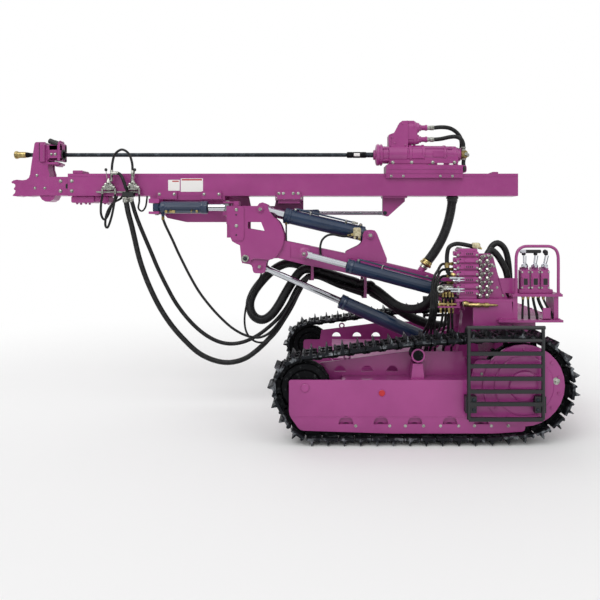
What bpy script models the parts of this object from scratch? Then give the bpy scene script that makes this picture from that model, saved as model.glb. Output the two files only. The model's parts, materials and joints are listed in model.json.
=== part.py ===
"""Crawler-mounted blast hole drilling rig, air powered, with boom and slide-mounted feed beam.

Row frame: -X is the front (drill bit), -Y the operator's left side, +Z up, ground at Z = 0.
"""

import math

import bmesh
import bpy
from mathutils import Matrix, Vector

for old in list(bpy.data.objects):
    bpy.data.objects.remove(old, do_unlink=True)

HANGER_FRONT, HANGER_REAR, HANGER_T = 0.403, 0.937, 0.028    # hose hangers under the boom
GAP = 0.0003            # between pieces that touch
PIN_PLAY = 0.0006       # between a pin and the eye that turns on it
PIN_SIDES = 24
SIDE_PLAY = 0.006       # between an eye and the lugs beside it

# Crawler undercarriage
TRACK_Y = 0.95          # middle of each track
SHOE_WIDTH = 0.30
PITCH_NOMINAL = 0.135
GROUSER = 0.048
WEAR = 0.0006           # by which the grousers between the first and last on the ground are shorter
SHOE_PLATE = 0.018
LINK_HEIGHT = 0.044
RAIL_IN, RAIL_OUT = 0.040, 0.068      # a chain rail's near and far side from the track's middle
IDLER_X, IDLER_Z, IDLER_PITCH_R = 0.380, 0.470, 0.229
DRIVE_X, DRIVE_Z, DRIVE_PITCH_R = 2.185, 0.493, 0.378
ROLLER_R = 0.062
ROLLERS_X = (0.450, 0.719, 1.008, 1.289, 1.578, 1.840)
CARRIER_X, CARRIER_R, CARRIER_TOP = 1.320, 0.058, 0.790
FRAME_OUT, FRAME_IN = TRACK_Y + 0.100, TRACK_Y - 0.098    # a track frame's outer and inner face, from the middle plane
FRAME_SKIN = 0.014
FRAME_TOP = 0.536
GUARD_R = 0.338         # round cover over the final drive

# Chassis between the tracks
BODY_HALF = 0.50
BODY_X0, BODY_X1 = 0.62, 2.44
BODY_Z0, BODY_Z1 = 0.36, 0.60
DECK_TOP = 0.99

# Boom
SWING_X = 1.880         # vertical swing axis
FOOT_X, FOOT_Z = 1.700, 1.215
HEAD_X, HEAD_Z = -0.232, 1.496        # pin at the boom's front end
BOOM_HALF = 0.100
BOOM_PLATE = 0.016
TILT_BASE = (0.988, 1.722)            # tilt cylinder's base pin, on the boom's gussets
TILT_EYE = (-0.086, 1.976)            # its rod's eye, on the head
LIFT_BASE = (1.600, 0.672)            # lift cylinder's base pin, on the swing post
LIFT_EYE = (-0.097, 1.416)
SWING_CYL_Y0, SWING_CYL_Y1 = -0.350, -0.190   # base and rod end of the swing cylinder
SWING_BASE_X, SWING_BASE_Z = 1.880, 1.140
SWING_EYE_X, SWING_EYE_Z = 0.343, 1.544

# Feed beam and what it carries
FEED_Y = 0.20
BEAM_X0, BEAM_X1 = -2.059, 2.500
BEAM_Z0, BEAM_Z1 = 2.120, 2.346
BEAM_HALF = 0.105
BEAM_WALL = 0.012
YAW_X = -0.325          # upright axis on which the feed swings
LUG_LOW = (1.700, 1.790)       # heights of the head's two hinge lugs; the cradle's knuckle lies between them
LUG_HIGH = (1.930, 2.005)
CRADLE_TOP = BEAM_Z0 - GAP
YAW_CYL_Z = 2.000       # feed swing cylinder, upright pins
YAW_BASE = (-1.130, 0.000)
YAW_EYE = (-0.425, 0.000)
SLIDE_Y, SLIDE_Z = FEED_Y + 0.045, 1.950     # feed slide cylinder under the beam
SLIDE_BASE_X, SLIDE_EYE_X = -0.190, 1.162
ROD_Z = 2.547
ROD_R = 0.0205
BIT_X = -2.6404

STEEL_CURVE = 16


def principled(name, colour, rough, metal):
    mat = bpy.data.materials.new(name)
    mat.use_nodes = True
    node = mat.node_tree.nodes["Principled BSDF"]
    linear = [c / 12.92 if c <= 0.04045 else ((c + 0.055) / 1.055) ** 2.4 for c in colour]
    node.inputs["Base Color"].default_value = (*linear, 1.0)
    node.inputs["Roughness"].default_value = rough
    node.inputs["Metallic"].default_value = metal
    mat.diffuse_color = (*linear, 1.0)
    return mat


PAINT = principled("purple_paint", (0.596, 0.282, 0.502), 0.35, 0.0)
NAVY = principled("cylinder_paint", (0.09, 0.13, 0.18), 0.35, 0.0)
CHROME = principled("hard_chrome", (0.78, 0.80, 0.82), 0.12, 1.0)
TRACK_STEEL = principled("track_steel", (0.20, 0.20, 0.21), 0.45, 0.9)
DARK = principled("dark_steel", (0.16, 0.16, 0.17), 0.5, 0.7)
BRASS = principled("brass", (0.62, 0.50, 0.28), 0.35, 1.0)
RUBBER = principled("hose_rubber", (0.04, 0.04, 0.045), 0.6, 0.0)
BLACK = principled("black_paint", (0.06, 0.06, 0.065), 0.5, 0.0)
SILVER = principled("plated_fittings", (0.70, 0.70, 0.68), 0.3, 1.0)


# Bodies: name, parent, and the point on the joint's axis where the body's empty stands
BODIES = {
    "chassis": (None, (0.0, 0.0, 0.0)),
    "swing_post": ("chassis", (SWING_X, 0.0, FOOT_Z)),
    "boom": ("swing_post", (FOOT_X, 0.0, FOOT_Z)),
    "lift_barrel": ("swing_post", (LIFT_BASE[0], 0.0, LIFT_BASE[1])),
    "lift_rod": ("lift_barrel", (LIFT_EYE[0], 0.0, LIFT_EYE[1])),
    "swing_yoke": ("chassis", (SWING_BASE_X, SWING_CYL_Y0, SWING_BASE_Z)),
    "swing_barrel": ("swing_yoke", (SWING_BASE_X, SWING_CYL_Y0, SWING_BASE_Z)),
    "swing_rod": ("swing_barrel", (SWING_EYE_X, SWING_CYL_Y1, SWING_EYE_Z)),
    "tilt_barrel": ("boom", (TILT_BASE[0], 0.0, TILT_BASE[1])),
    "tilt_rod": ("tilt_barrel", (TILT_EYE[0], 0.0, TILT_EYE[1])),
    "head": ("boom", (HEAD_X, 0.0, HEAD_Z)),
    "cradle": ("head", (YAW_X, FEED_Y, CRADLE_TOP)),
    "yaw_barrel": ("cradle", (YAW_BASE[0], YAW_BASE[1], YAW_CYL_Z)),
    "yaw_rod": ("yaw_barrel", (YAW_EYE[0], YAW_EYE[1], YAW_CYL_Z)),
    "feed_beam": ("cradle", (BEAM_X0, FEED_Y, BEAM_Z0)),
    "drifter": ("feed_beam", (1.131, FEED_Y, ROD_Z)),
    "drill_string": ("drifter", (0.0, FEED_Y, ROD_Z)),
}
EMPTIES = {}
for body, (parent, point) in BODIES.items():
    empty = bpy.data.objects.new("axis_" + body, None)
    bpy.context.scene.collection.objects.link(empty)
    base = Vector(BODIES[parent][1]) if parent else Vector((0, 0, 0))
    empty.parent = EMPTIES.get(parent)
    empty.location = Vector(point) - base
    EMPTIES[body] = empty


# Solids: each function returns a closed mesh in world coordinates
def finish_mesh(bm):
    bmesh.ops.recalc_face_normals(bm, faces=bm.faces)
    mesh = bpy.data.meshes.new("solid")
    bm.to_mesh(mesh)
    bm.free()
    return mesh


def slab(outline, y0, y1):
    """Plate with an outline of (x, z) points, from y0 to y1."""
    bm = bmesh.new()
    face = bm.faces.new([bm.verts.new((x, y0, z)) for x, z in outline])
    made = bmesh.ops.extrude_face_region(bm, geom=[face])
    verts = [g for g in made["geom"] if isinstance(g, bmesh.types.BMVert)]
    bmesh.ops.translate(bm, verts=verts, vec=(0, y1 - y0, 0))
    return finish_mesh(bm)


def sheet(outline, z0, z1):
    """Plate with an outline of (x, y) points, from z0 to z1."""
    mesh = slab(outline, 0, 1)
    for v in mesh.vertices:
        x, t, y = v.co
        v.co = (x, y, z0 + t * (z1 - z0))
    mesh.flip_normals()
    return mesh


def box(x0, x1, y0, y1, z0, z1):
    return slab([(x0, z0), (x1, z0), (x1, z1), (x0, z1)], min(y0, y1), max(y0, y1))


def disc(x, z, r, n=STEEL_CURVE, start=0.0):
    return [(x + r * math.cos(start + math.tau * i / n), z + r * math.sin(start + math.tau * i / n)) for i in range(n)]


def boss(x, z, r, y0, y1, n=STEEL_CURVE):
    """Round boss or pin along Y."""
    return slab(disc(x, z, r, n), min(y0, y1), max(y0, y1))


def turned(p, q, profile, n=STEEL_CURVE):
    """Solid of revolution on the line from p to q: profile of (metres from p, radius)."""
    p, q = Vector(p), Vector(q)
    axis = (q - p).normalized()
    side = axis.orthogonal().normalized() if abs(axis.y) > 0.9 else Vector((0, 1, 0)).cross(axis).normalized()
    up = axis.cross(side)
    bm = bmesh.new()
    rings = []
    for s, r in profile:
        rings.append([bm.verts.new(p + axis * s + (side * math.cos(math.tau * i / n) + up * math.sin(math.tau * i / n)) * r)
                      for i in range(n)])
    for a, b in zip(rings, rings[1:]):
        for i in range(n):
            k = (i + 1) % n
            bm.faces.new((a[i], a[k], b[k], b[i]))
    bm.faces.new(rings[0])
    bm.faces.new(rings[-1])
    return finish_mesh(bm)


def bar(p, q, r, n=8):
    """Round bar from p to q."""
    return turned(p, q, [(0, r), ((Vector(q) - Vector(p)).length, r)], n)


def rounded(points, radius, steps=2):
    """Outline of (x, z) points with each corner rounded to the radius, or to a third of its sides."""
    out = []
    for i, here in enumerate(points):
        a, c, b = Vector(points[i - 1]), Vector(here), Vector(points[(i + 1) % len(points)])
        r = min(radius, (a - c).length / 3, (b - c).length / 3)
        start, end = c + (a - c).normalized() * r, c + (b - c).normalized() * r
        for k in range(steps + 1):
            t = k / steps
            p = start * (1 - t) ** 2 + c * 2 * t * (1 - t) + end * t * t
            out.append((p.x, p.y))
    return out


def joined(solids):
    bm = bmesh.new()
    for mesh in solids:
        bm.from_mesh(mesh)
    mesh = bpy.data.meshes.new("shells")
    bm.to_mesh(mesh)
    bm.free()
    return mesh


def part(name, body, material, solids, cuts=(), smooth=32):
    """One closed piece: its solids united, then its cuts taken out."""
    point = Vector(BODIES[body][1])
    move = Matrix.Translation(-point)
    mesh = solids[0].copy()
    mesh.name = name
    mesh.transform(move)
    obj = bpy.data.objects.new(name, mesh)
    bpy.context.scene.collection.objects.link(obj)
    obj.parent = EMPTIES[body]
    obj.data.materials.append(material)
    for kind, group in (("UNION", solids[1:]), ("DIFFERENCE", cuts)):
        if not group:
            continue
        tool_mesh = joined(group)
        tool_mesh.transform(move)
        tool = bpy.data.objects.new(name + "_" + kind.lower(), tool_mesh)
        bpy.context.scene.collection.objects.link(tool)
        tool.parent = EMPTIES[body]
        tool.hide_render = True
        tool.hide_set(True)
        tool.display_type = "WIRE"
        mod = obj.modifiers.new(kind.title(), "BOOLEAN")
        mod.operation = kind
        mod.object = tool
        mod.solver = "EXACT"
        mod.use_self = True
    obj.data.shade_smooth()
    obj.data.set_sharp_from_angle(angle=math.radians(smooth))
    return obj


# Track loop: pins at equal steps round the belt of circles, one straight link and shoe from pin to pin
def belt(circles):
    """Points of the tight outer belt round circles of (x, z, radius), in order, as a polyline."""
    pts = []
    count = len(circles)
    for i in range(count):
        before, here, after = circles[i - 1], circles[i], circles[(i + 1) % count]

        def leave(a, b):
            dx, dz = b[0] - a[0], b[1] - a[1]
            d = math.hypot(dx, dz)
            return math.atan2(dz, dx) - math.acos((a[2] - b[2]) / d)

        start, end = leave(before, here), leave(here, after)
        while end < start - 1e-9:
            end += math.tau
        steps = max(1, int((end - start) / 0.05))
        for k in range(steps + 1):
            a = start + (end - start) * k / steps
            pts.append((here[0] + here[2] * math.cos(a), here[1] + here[2] * math.sin(a)))
    return pts


def walk(pts, count):
    """Equal steps along a closed polyline."""
    closed = pts + pts[:1]
    lengths = [math.dist(a, b) for a, b in zip(closed, closed[1:])]
    total = sum(lengths)
    out, i, gone = [], 0, 0.0
    for k in range(count):
        want = total * k / count
        while gone + lengths[i] < want:
            gone += lengths[i]
            i += 1
        t = (want - gone) / lengths[i]
        a, b = closed[i], closed[i + 1]
        out.append((a[0] + (b[0] - a[0]) * t, a[1] + (b[1] - a[1]) * t))
    return out, total


BOTTOM = GROUSER + SHOE_PLATE + LINK_HEIGHT / 2      # height of the pin line on the ground run
ROLLER_Z = BOTTOM + LINK_HEIGHT / 2 + ROLLER_R + GAP
END_BEND_R, CARRIER_BEND_R = 0.110, 0.300            # bends of the pin line at the end rollers and the carrier
TRACK_CIRCLES = (
    (IDLER_X, IDLER_Z, IDLER_PITCH_R),
    (ROLLERS_X[0] - 0.060, BOTTOM + END_BEND_R, END_BEND_R),
    (ROLLERS_X[-1] + 0.020, BOTTOM + END_BEND_R, END_BEND_R),
    (DRIVE_X, DRIVE_Z, DRIVE_PITCH_R),
    (CARRIER_X, CARRIER_TOP + LINK_HEIGHT / 2 + 0.008 - CARRIER_BEND_R, CARRIER_BEND_R),
)
LOOP = belt(TRACK_CIRCLES)
SHOES = round(walk(LOOP, 1)[1] / PITCH_NOMINAL)
PINS, LOOP_LENGTH = walk(LOOP, SHOES)
PITCH = LOOP_LENGTH / SHOES


def seat_radius(pitch_r):
    """Radius of a wheel that the straight links rest on."""
    return math.sqrt(pitch_r ** 2 - (PITCH / 2) ** 2) - LINK_HEIGHT / 2 - 0.002


def over_link(i, share, height):
    """Point over link i, at a share of its length and a height over the line between its pins."""
    a, b = PINS[i % SHOES], PINS[(i + 1) % SHOES]
    step = math.dist(a, b)
    ux, uz = (b[0] - a[0]) / step, (b[1] - a[1]) / step
    return a[0] + ux * share * step + uz * height, a[1] + uz * share * step - ux * height


def over_pin(i, height):
    """Point over pin i, square to the mean of its two links."""
    a, b = over_link(i - 1, 1.0, height), over_link(i, 0.0, height)
    mid = Vector(((a[0] + b[0]) / 2, (a[1] + b[1]) / 2))
    pin = Vector(PINS[i % SHOES])
    return tuple(pin + (mid - pin).normalized() * abs(height))


def track_mesh(mid):
    """One closed loop: shoes with grousers outside, two chain rails inside, widths about the middle."""
    bm = bmesh.new()
    half = SHOE_WIDTH / 2
    # Width stations of the inner side: (offset from the middle, height over the pin line on each side of it)
    inner = ((-half, RIB), (-RAIL_OUT, RIB), (-RAIL_OUT, -HALF), (-RAIL_IN, -HALF), (-RAIL_IN, RIB),
             (RAIL_IN, RIB), (RAIL_IN, -HALF), (RAIL_OUT, -HALF), (RAIL_OUT, RIB), (half, RIB))
    seams, shoes = [], []
    rows = [[over_link(i, share, height) for share, height in SHOE_PROFILE] for i in range(SHOES)]
    low = min(z for row in rows for x, z in row)
    feet = [x for row in rows for x, z in row if z < low + 0.0001]
    for i in range(SHOES):
        seams.append([bm.verts.new((x, mid + y, z)) for y, h in inner for x, z in (over_pin(i, h),)])
        # Between the first and the last grouser on the ground, the rest are a little shorter, as they wear
        row = [(x, z + WEAR if z < low + 0.0001 and min(feet) + 0.02 < x < max(feet) - 0.02 else z) for x, z in rows[i]]
        shoes.append([[bm.verts.new((x, mid + y, z)) for x, z in row] for y in (-half, half)])
    for i in range(SHOES):
        k = (i + 1) % SHOES
        low, high = shoes[i]
        for a in range(len(low) - 1):
            bm.faces.new((low[a], high[a], high[a + 1], low[a + 1]))
        bm.faces.new((low[-1], high[-1], shoes[k][1][0], shoes[k][0][0]))
        for a in range(len(inner) - 1):
            bm.faces.new((seams[i][a], seams[k][a], seams[k][a + 1], seams[i][a + 1]))
        bm.faces.new([seams[i][0]] + low + [shoes[k][0][0], seams[k][0]])
        bm.faces.new([seams[i][-1]] + high + [shoes[k][1][0], seams[k][-1]])
    return finish_mesh(bm)


HALF = LINK_HEIGHT / 2
TOP = HALF + SHOE_PLATE
RIB = HALF - 0.012      # inner side of the shoes, between and beside the rails
# A shoe seen from the side: share of the link's length, height over the line between its pins
SHOE_PROFILE = ((0.03, HALF - 0.004), (0.03, TOP), (0.30, TOP), (0.34, TOP + GROUSER), (0.40, TOP + GROUSER),
                (0.46, TOP), (0.80, TOP + 0.012), (0.97, TOP), (0.97, HALF - 0.004))
for side, sign in (("left", -1), ("right", 1)):
    mid = sign * TRACK_Y
    part("track_" + side, "chassis", TRACK_STEEL, [track_mesh(mid)])

    idler_r = seat_radius(IDLER_PITCH_R)
    rim = idler_r - 0.045
    part("idler_" + side, "chassis", DARK, [
        turned((IDLER_X, mid - 0.080, IDLER_Z), (IDLER_X, mid + 0.080, IDLER_Z), [
            (0.0, 0.055), (0.030, 0.060), (0.030, rim - 0.02), (0.008, rim), (0.008, idler_r), (0.044, idler_r),
            (0.050, idler_r + 0.018), (0.110, idler_r + 0.018), (0.116, idler_r), (0.152, idler_r), (0.152, rim),
            (0.130, rim - 0.02), (0.130, 0.060), (0.160, 0.055)], 16)])

    # Drive wheel with teeth between the chain's rails, and the round hub of the final drive
    root_r = math.sqrt(DRIVE_PITCH_R ** 2 - (PITCH / 2) ** 2) - 0.036
    teeth = round(math.tau * DRIVE_PITCH_R / PITCH)
    gear = []
    for i in range(teeth):
        for share, radius in ((0.0, root_r), (0.30, root_r), (0.42, root_r + 0.030), (0.58, root_r + 0.030), (0.70, root_r)):
            a = math.tau * (i + share) / teeth
            gear.append((DRIVE_X + radius * math.cos(a), DRIVE_Z + radius * math.sin(a)))
    part("drive_" + side, "chassis", TRACK_STEEL, [
        slab(gear, mid - 0.022, mid + 0.022),
        turned((DRIVE_X, mid - 0.075, DRIVE_Z), (DRIVE_X, mid + 0.075, DRIVE_Z),
               [(0, 0.17), (0.02, 0.20), (0.13, 0.20), (0.15, 0.17)], 18)])

    # Track frame: closed box beam, outer skin with half-moon windows over the rollers, idler fork and final drive guard
    out_y, in_y = sign * FRAME_OUT, sign * FRAME_IN
    skin = rounded([(0.248, 0.528), (0.248, 0.247), (0.339, 0.118), (1.083, 0.094), (1.950, 0.094), (2.200, 0.110),
                    (2.200, 0.700), (1.790, 0.700), (1.750, FRAME_TOP), (0.262, FRAME_TOP)], 0.03)
    beam = [(0.690, 0.285), (1.820, 0.285), (1.780, FRAME_TOP - 0.002), (0.690, FRAME_TOP - 0.002)]
    solids = [
        slab(skin, out_y - sign * FRAME_SKIN, out_y),
        slab(beam, in_y + sign * 0.003, out_y - sign * (FRAME_SKIN - 0.002)),
        slab(rounded([(0.300, 0.400), (0.700, 0.300), (0.700, 0.532), (0.300, 0.532)], 0.03), in_y, in_y + sign * 0.014),
        slab([(0.400, 0.145), (1.890, 0.145), (1.930, 0.320), (0.400, 0.320)], in_y, in_y + sign * 0.014),
        slab([(0.480, 0.50), (0.503, 0.640), (1.259, 0.735), (1.720, 0.735), (1.790, 0.50)], in_y, in_y + sign * 0.014),
        slab(disc(DRIVE_X, DRIVE_Z, GUARD_R, 28), out_y - sign * (FRAME_SKIN + 0.0), out_y + sign * 0.012),
        boss(DRIVE_X, DRIVE_Z, 0.09, sign * (TRACK_Y + 0.075 + GAP), out_y),
        boss(IDLER_X, IDLER_Z, 0.03, sign * (TRACK_Y + 0.080 + GAP), out_y - sign * 0.002),
        boss(IDLER_X, IDLER_Z, 0.03, in_y + sign * 0.002, sign * (TRACK_Y - 0.080 - GAP)),
    ]
    for x in ROLLERS_X:
        solids.append(boss(x, ROLLER_Z, 0.022, in_y + sign * 0.006, out_y - sign * 0.004, 8))
        solids.append(boss(x, ROLLER_Z, ROLLER_R, mid - 0.078, mid + 0.078, 12))
    carrier_z = CARRIER_TOP - CARRIER_R - GAP
    solids += [boss(CARRIER_X, carrier_z, CARRIER_R, mid - 0.075, mid + 0.075, 14),
               boss(CARRIER_X, carrier_z, 0.02, in_y + sign * 0.006, mid, 8),
               slab([(CARRIER_X - 0.06, 0.50), (CARRIER_X + 0.06, 0.50), (CARRIER_X + 0.04, 0.66), (CARRIER_X - 0.04, 0.66)],
                    mid - 0.05, mid + 0.05)]
    windows = []
    for x in ROLLERS_X[1:]:
        moon = [(x + 0.062 * math.cos(a), 0.170 + 0.07 * math.sin(a)) for a in [math.pi * k / 6 for k in range(7)]]
        windows.append(slab(moon, out_y - sign * 0.03, out_y + sign * 0.03))
    for x in (0.674, 0.906, 1.121):
        moon = [(x + 0.050 * math.cos(a), 0.565 + 0.05 * math.sin(a)) for a in [math.pi * k / 6 for k in range(7)]]
        windows.append(slab(moon, in_y - sign * 0.03, in_y + sign * 0.03))
    part("track_frame_" + side, "chassis", PAINT, solids, windows)

    # Step guard: upright frame of round tube with flat rungs, on brackets bolted to the track frame
    y = sign * (TRACK_Y + 0.180)
    x0, x1, z0, z1, r = 1.715, 2.320, 0.235, 0.980, 0.016
    ladder = [bar((x0, y, z0), (x0, y, z1), r), bar((x1, y, z0), (x1, y, z1), r),
              bar((x0 - r, y, z1), (x1 + r, y, z1), r), bar((x0, y, 0.875), (x1, y, 0.875), r * 0.9)]
    for z in (0.770, 0.668, 0.566, 0.462, 0.360, z0):
        ladder.append(box(x0, x1, y - 0.012, y + 0.012, z - 0.016, z + 0.016))
    face = out_y + sign * (0.012 + GAP)
    for x in (x0 + 0.02, x1 - 0.02):
        ladder.append(box(x - 0.045, x + 0.045, face, y, 0.285, 0.420))
    part("step_guard_" + side, "chassis", BLACK, ladder)

# Chassis: box frame tying the track frames, with the swing post's housing and a rear deck
frame = [
    slab([(BODY_X0, BODY_Z0), (BODY_X1 - 0.14, BODY_Z0), (BODY_X1, BODY_Z0 + 0.12), (BODY_X1, BODY_Z1), (BODY_X0, BODY_Z1)],
         -BODY_HALF, BODY_HALF),
    box(0.80, 1.00, -FRAME_IN + GAP, FRAME_IN - GAP, 0.38, 0.52),
    box(1.50, 1.70, -FRAME_IN + GAP, FRAME_IN - GAP, 0.38, 0.52),
    bar((SWING_X, 0, 0.44), (SWING_X, 0, 0.70), 0.16, 24),
    box(2.12, 2.50, -0.42, 0.42, 0.58, DECK_TOP),
    box(2.06, 2.62, -0.78, 0.78, DECK_TOP - 0.02, DECK_TOP),
    slab([(2.43, 0.42), (2.58, 0.42), (2.60, 0.46), (2.60, 0.54), (2.43, 0.54)], -0.06, 0.06),
]
part("chassis_frame", "chassis", PAINT, frame, [boss(2.54, 0.48, 0.028, -0.1, 0.1, 16)])

# Swing post: turns on the chassis, carries the boom's foot and the lift cylinder's base
post = [
    bar((SWING_X, 0, 0.700 + GAP), (SWING_X, 0, 1.060), 0.105, 24),
    bar((SWING_X, 0, 0.700 + GAP), (SWING_X, 0, 0.760), 0.150, 24),
]
for sign in (-1, 1):
    inner = sign * (BOOM_HALF + SIDE_PLAY)
    ear = rounded([(FOOT_X - 0.075, FOOT_Z - 0.085), (FOOT_X - 0.075, FOOT_Z + 0.085), (SWING_X + 0.06, FOOT_Z + 0.11),
                   (SWING_X + 0.06, 0.95), (SWING_X - 0.08, 0.95)], 0.05)
    post.append(slab(ear, inner, inner + sign * 0.028))
    low = rounded([(LIFT_BASE[0] - 0.055, LIFT_BASE[1] - 0.055), (LIFT_BASE[0] - 0.055, LIFT_BASE[1] + 0.055), (SWING_X, 0.84),
                   (SWING_X, 0.705), (1.695, 0.705), (1.655, LIFT_BASE[1] - 0.055)], 0.03)
    post.append(slab(low, sign * 0.075, sign * 0.099))
    post.append(boss(LIFT_BASE[0], LIFT_BASE[1], 0.034, sign * (0.045 + SIDE_PLAY), sign * 0.080))
post.append(boss(FOOT_X, FOOT_Z, 0.034, -BOOM_HALF - SIDE_PLAY - 0.040, BOOM_HALF + SIDE_PLAY + 0.040, PIN_SIDES))
post.append(boss(LIFT_BASE[0], LIFT_BASE[1], 0.026, -0.108, 0.108, PIN_SIDES))
post.append(box(SWING_X - 0.08, SWING_X + 0.06, -BOOM_HALF - SIDE_PLAY - 0.01, BOOM_HALF + SIDE_PLAY + 0.01, 1.00, 1.06))
part("swing_post", "swing_post", PAINT, post)

# Boom: box beam tapering to the front, foot eye, gussets for the tilt cylinder and a forked head end
boom_side = [(0.050, 1.690), (0.744, 1.546), (1.600, 1.345), (FOOT_X, FOOT_Z + 0.080), (FOOT_X + 0.075, FOOT_Z),
             (FOOT_X, FOOT_Z - 0.080), (1.560, 1.170), (0.744, 1.356), (0.346, 1.436), (0.056, 1.506)]
boom = [slab(rounded(boom_side, 0.03), -BOOM_HALF, BOOM_HALF)]
gusset = rounded([(0.744, 1.560), (0.910, 1.640), (0.920, 1.770), (1.040, 1.780), (1.170, 1.450), (0.760, 1.500)], 0.05)
for sign in (-1, 1):
    y0, y1 = sign * (BOOM_HALF - BOOM_PLATE), sign * BOOM_HALF
    boom.append(slab(gusset, y0, y1))
    fork = rounded([(HEAD_X - 0.045, HEAD_Z - 0.045), (HEAD_X - 0.045, HEAD_Z + 0.045), (-0.10, 1.640), (0.120, 1.672),
                    (0.20, 1.655), (0.20, 1.49), (0.050, 1.500), (-0.030, 1.470), (-0.040, 1.350), (-0.160, 1.350),
                    (-0.170, 1.435)], 0.03)
    boom.append(slab(fork, y0, y1))
    boom.append(boss(TILT_BASE[0], TILT_BASE[1], 0.038, sign * 0.066, sign * (BOOM_HALF + 0.004)))
    boom.append(boss(HEAD_X, HEAD_Z, 0.045, sign * 0.062, sign * (BOOM_HALF - 0.001)))
boom.append(boss(TILT_BASE[0], TILT_BASE[1], 0.026, -BOOM_HALF - 0.012, BOOM_HALF + 0.012, PIN_SIDES))
boom.append(boss(HEAD_X, HEAD_Z, 0.026, -0.136, 0.136, PIN_SIDES))
for sign in (-1, 1):
    boom.append(boss(LIFT_EYE[0], LIFT_EYE[1], 0.034, sign * 0.051, sign * 0.092))
# The tilt cylinder sinks between the boom's side plates when the feed stands upright
boom_cuts = [boss(FOOT_X, FOOT_Z, 0.034 + PIN_PLAY, -1, 1, PIN_SIDES),
             slab([(-0.05, 1.590), (0.30, 1.590), (0.50, 1.640), (0.50, 1.75), (-0.05, 1.75)],
                  -BOOM_HALF + BOOM_PLATE, BOOM_HALF - BOOM_PLATE)]
boom.append(bar((1.5467, 0.045, 1.4207), (1.485, 0.045, 1.334), 0.036, 12))    # pipe stub of the feed's hose
# Hangers of the hose bundle: x of the front face, underside, height where it meets the boom
for x, z0, z1 in ((HANGER_FRONT, 1.272, 1.445), (HANGER_REAR, 1.094, 1.335)):
    boom.append(box(x, x + HANGER_T, 0.050, 0.300, z0, z1))
part("boom", "boom", PAINT, boom, boom_cuts)


def cylinder_pair(base, eye, y0, y1, bore_r, rod_r, barrel_len, bore_from, rod_from, pin_r, eye_r, eye_half):
    """Hydraulic cylinder: a barrel with its base eye, and a rod with its eye, on the line from base to eye.

    The hollow in the barrel starts at bore_from, and the rod's inner end lies at rod_from, from the base pin.
    """
    p, q = Vector((base[0], y0, base[1])), Vector((eye[0], y1, eye[1]))
    line = (q - p).normalized()
    back = eye_r * 0.9
    length = barrel_len
    barrel = [turned(p + line * back, q, [(0, bore_r * 0.72), (0.02, bore_r * 0.96), (0.03, bore_r), (length - back - 0.05, bore_r),
                                          (length - back - 0.045, bore_r * 1.04), (length - back, bore_r * 1.04)], 18),
              turned(p, q, [(0.0, eye_half * 0.8), (back + 0.01, eye_half * 0.8)], 10),
              boss(p.x, p.z, eye_r, p.y - eye_half, p.y + eye_half)]
    cuts = [turned(p, q, [(bore_from, rod_r + PIN_PLAY), (length + 0.05, rod_r + PIN_PLAY)], 16),
            boss(p.x, p.z, pin_r + PIN_PLAY, p.y - 0.3, p.y + 0.3, PIN_SIDES)]
    span = (q - p).length
    rod = [turned(p, q, [(rod_from, rod_r), (span - eye_r * 0.7, rod_r)], 16),
           boss(q.x, q.z, eye_r * 0.92, q.y - eye_half, q.y + eye_half),
           turned(p, q, [(span - eye_r - 0.035, rod_r * 1.15), (span - eye_r * 0.5, rod_r * 1.15)], 16)]
    return barrel, cuts, rod


tilt = cylinder_pair(TILT_BASE, TILT_EYE, 0, 0, 0.074, 0.045, 0.86, 0.064, 0.145, 0.026, 0.052, 0.060)
part("tilt_barrel", "tilt_barrel", NAVY, tilt[0], tilt[1])
part("tilt_rod", "tilt_rod", CHROME, tilt[2])
lift = cylinder_pair(LIFT_BASE, LIFT_EYE, 0, 0, 0.068, 0.032, 0.98, 0.30, 0.50, 0.026, 0.046, 0.045)
part("lift_barrel", "lift_barrel", NAVY, lift[0], lift[1])
part("lift_rod", "lift_rod", CHROME, lift[2])
swing = cylinder_pair((SWING_BASE_X, SWING_BASE_Z), (SWING_EYE_X, SWING_EYE_Z), SWING_CYL_Y0, SWING_CYL_Y1,
                      0.062, 0.030, 1.16, 0.38, 0.60, 0.024, 0.042, 0.028)
part("swing_barrel", "swing_barrel", NAVY, swing[0], swing[1])
part("swing_rod", "swing_rod", CHROME, swing[2])
# Yoke that lets the swing cylinder turn both ways at its base, on a stand of the chassis
STAND_TOP = SWING_BASE_Z - 0.110
yoke = [bar((SWING_BASE_X, SWING_CYL_Y0, STAND_TOP - 0.080), (SWING_BASE_X, SWING_CYL_Y0, STAND_TOP + 0.020), 0.028, PIN_SIDES),
        box(SWING_BASE_X - 0.04, SWING_BASE_X + 0.04, SWING_CYL_Y0 - 0.092, SWING_CYL_Y0 + 0.092,
            STAND_TOP + GAP, STAND_TOP + 0.030),
        boss(SWING_BASE_X, SWING_BASE_Z, 0.024, SWING_CYL_Y0 - 0.102, SWING_CYL_Y0 + 0.102, PIN_SIDES)]
for sign in (-1, 1):
    y = SWING_CYL_Y0 + sign * 0.070
    yoke.append(boss(SWING_BASE_X, SWING_BASE_Z, 0.032, SWING_CYL_Y0 + sign * (0.028 + SIDE_PLAY), y + sign * 0.004))
    yoke.append(slab(rounded([(SWING_BASE_X - 0.04, STAND_TOP + 0.010), (SWING_BASE_X + 0.04, STAND_TOP + 0.010),
                              (SWING_BASE_X + 0.04, SWING_BASE_Z + 0.040), (SWING_BASE_X - 0.04, SWING_BASE_Z + 0.040)], 0.02),
                     y, y + sign * 0.022))
part("swing_yoke", "swing_yoke", PAINT, yoke)
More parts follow.
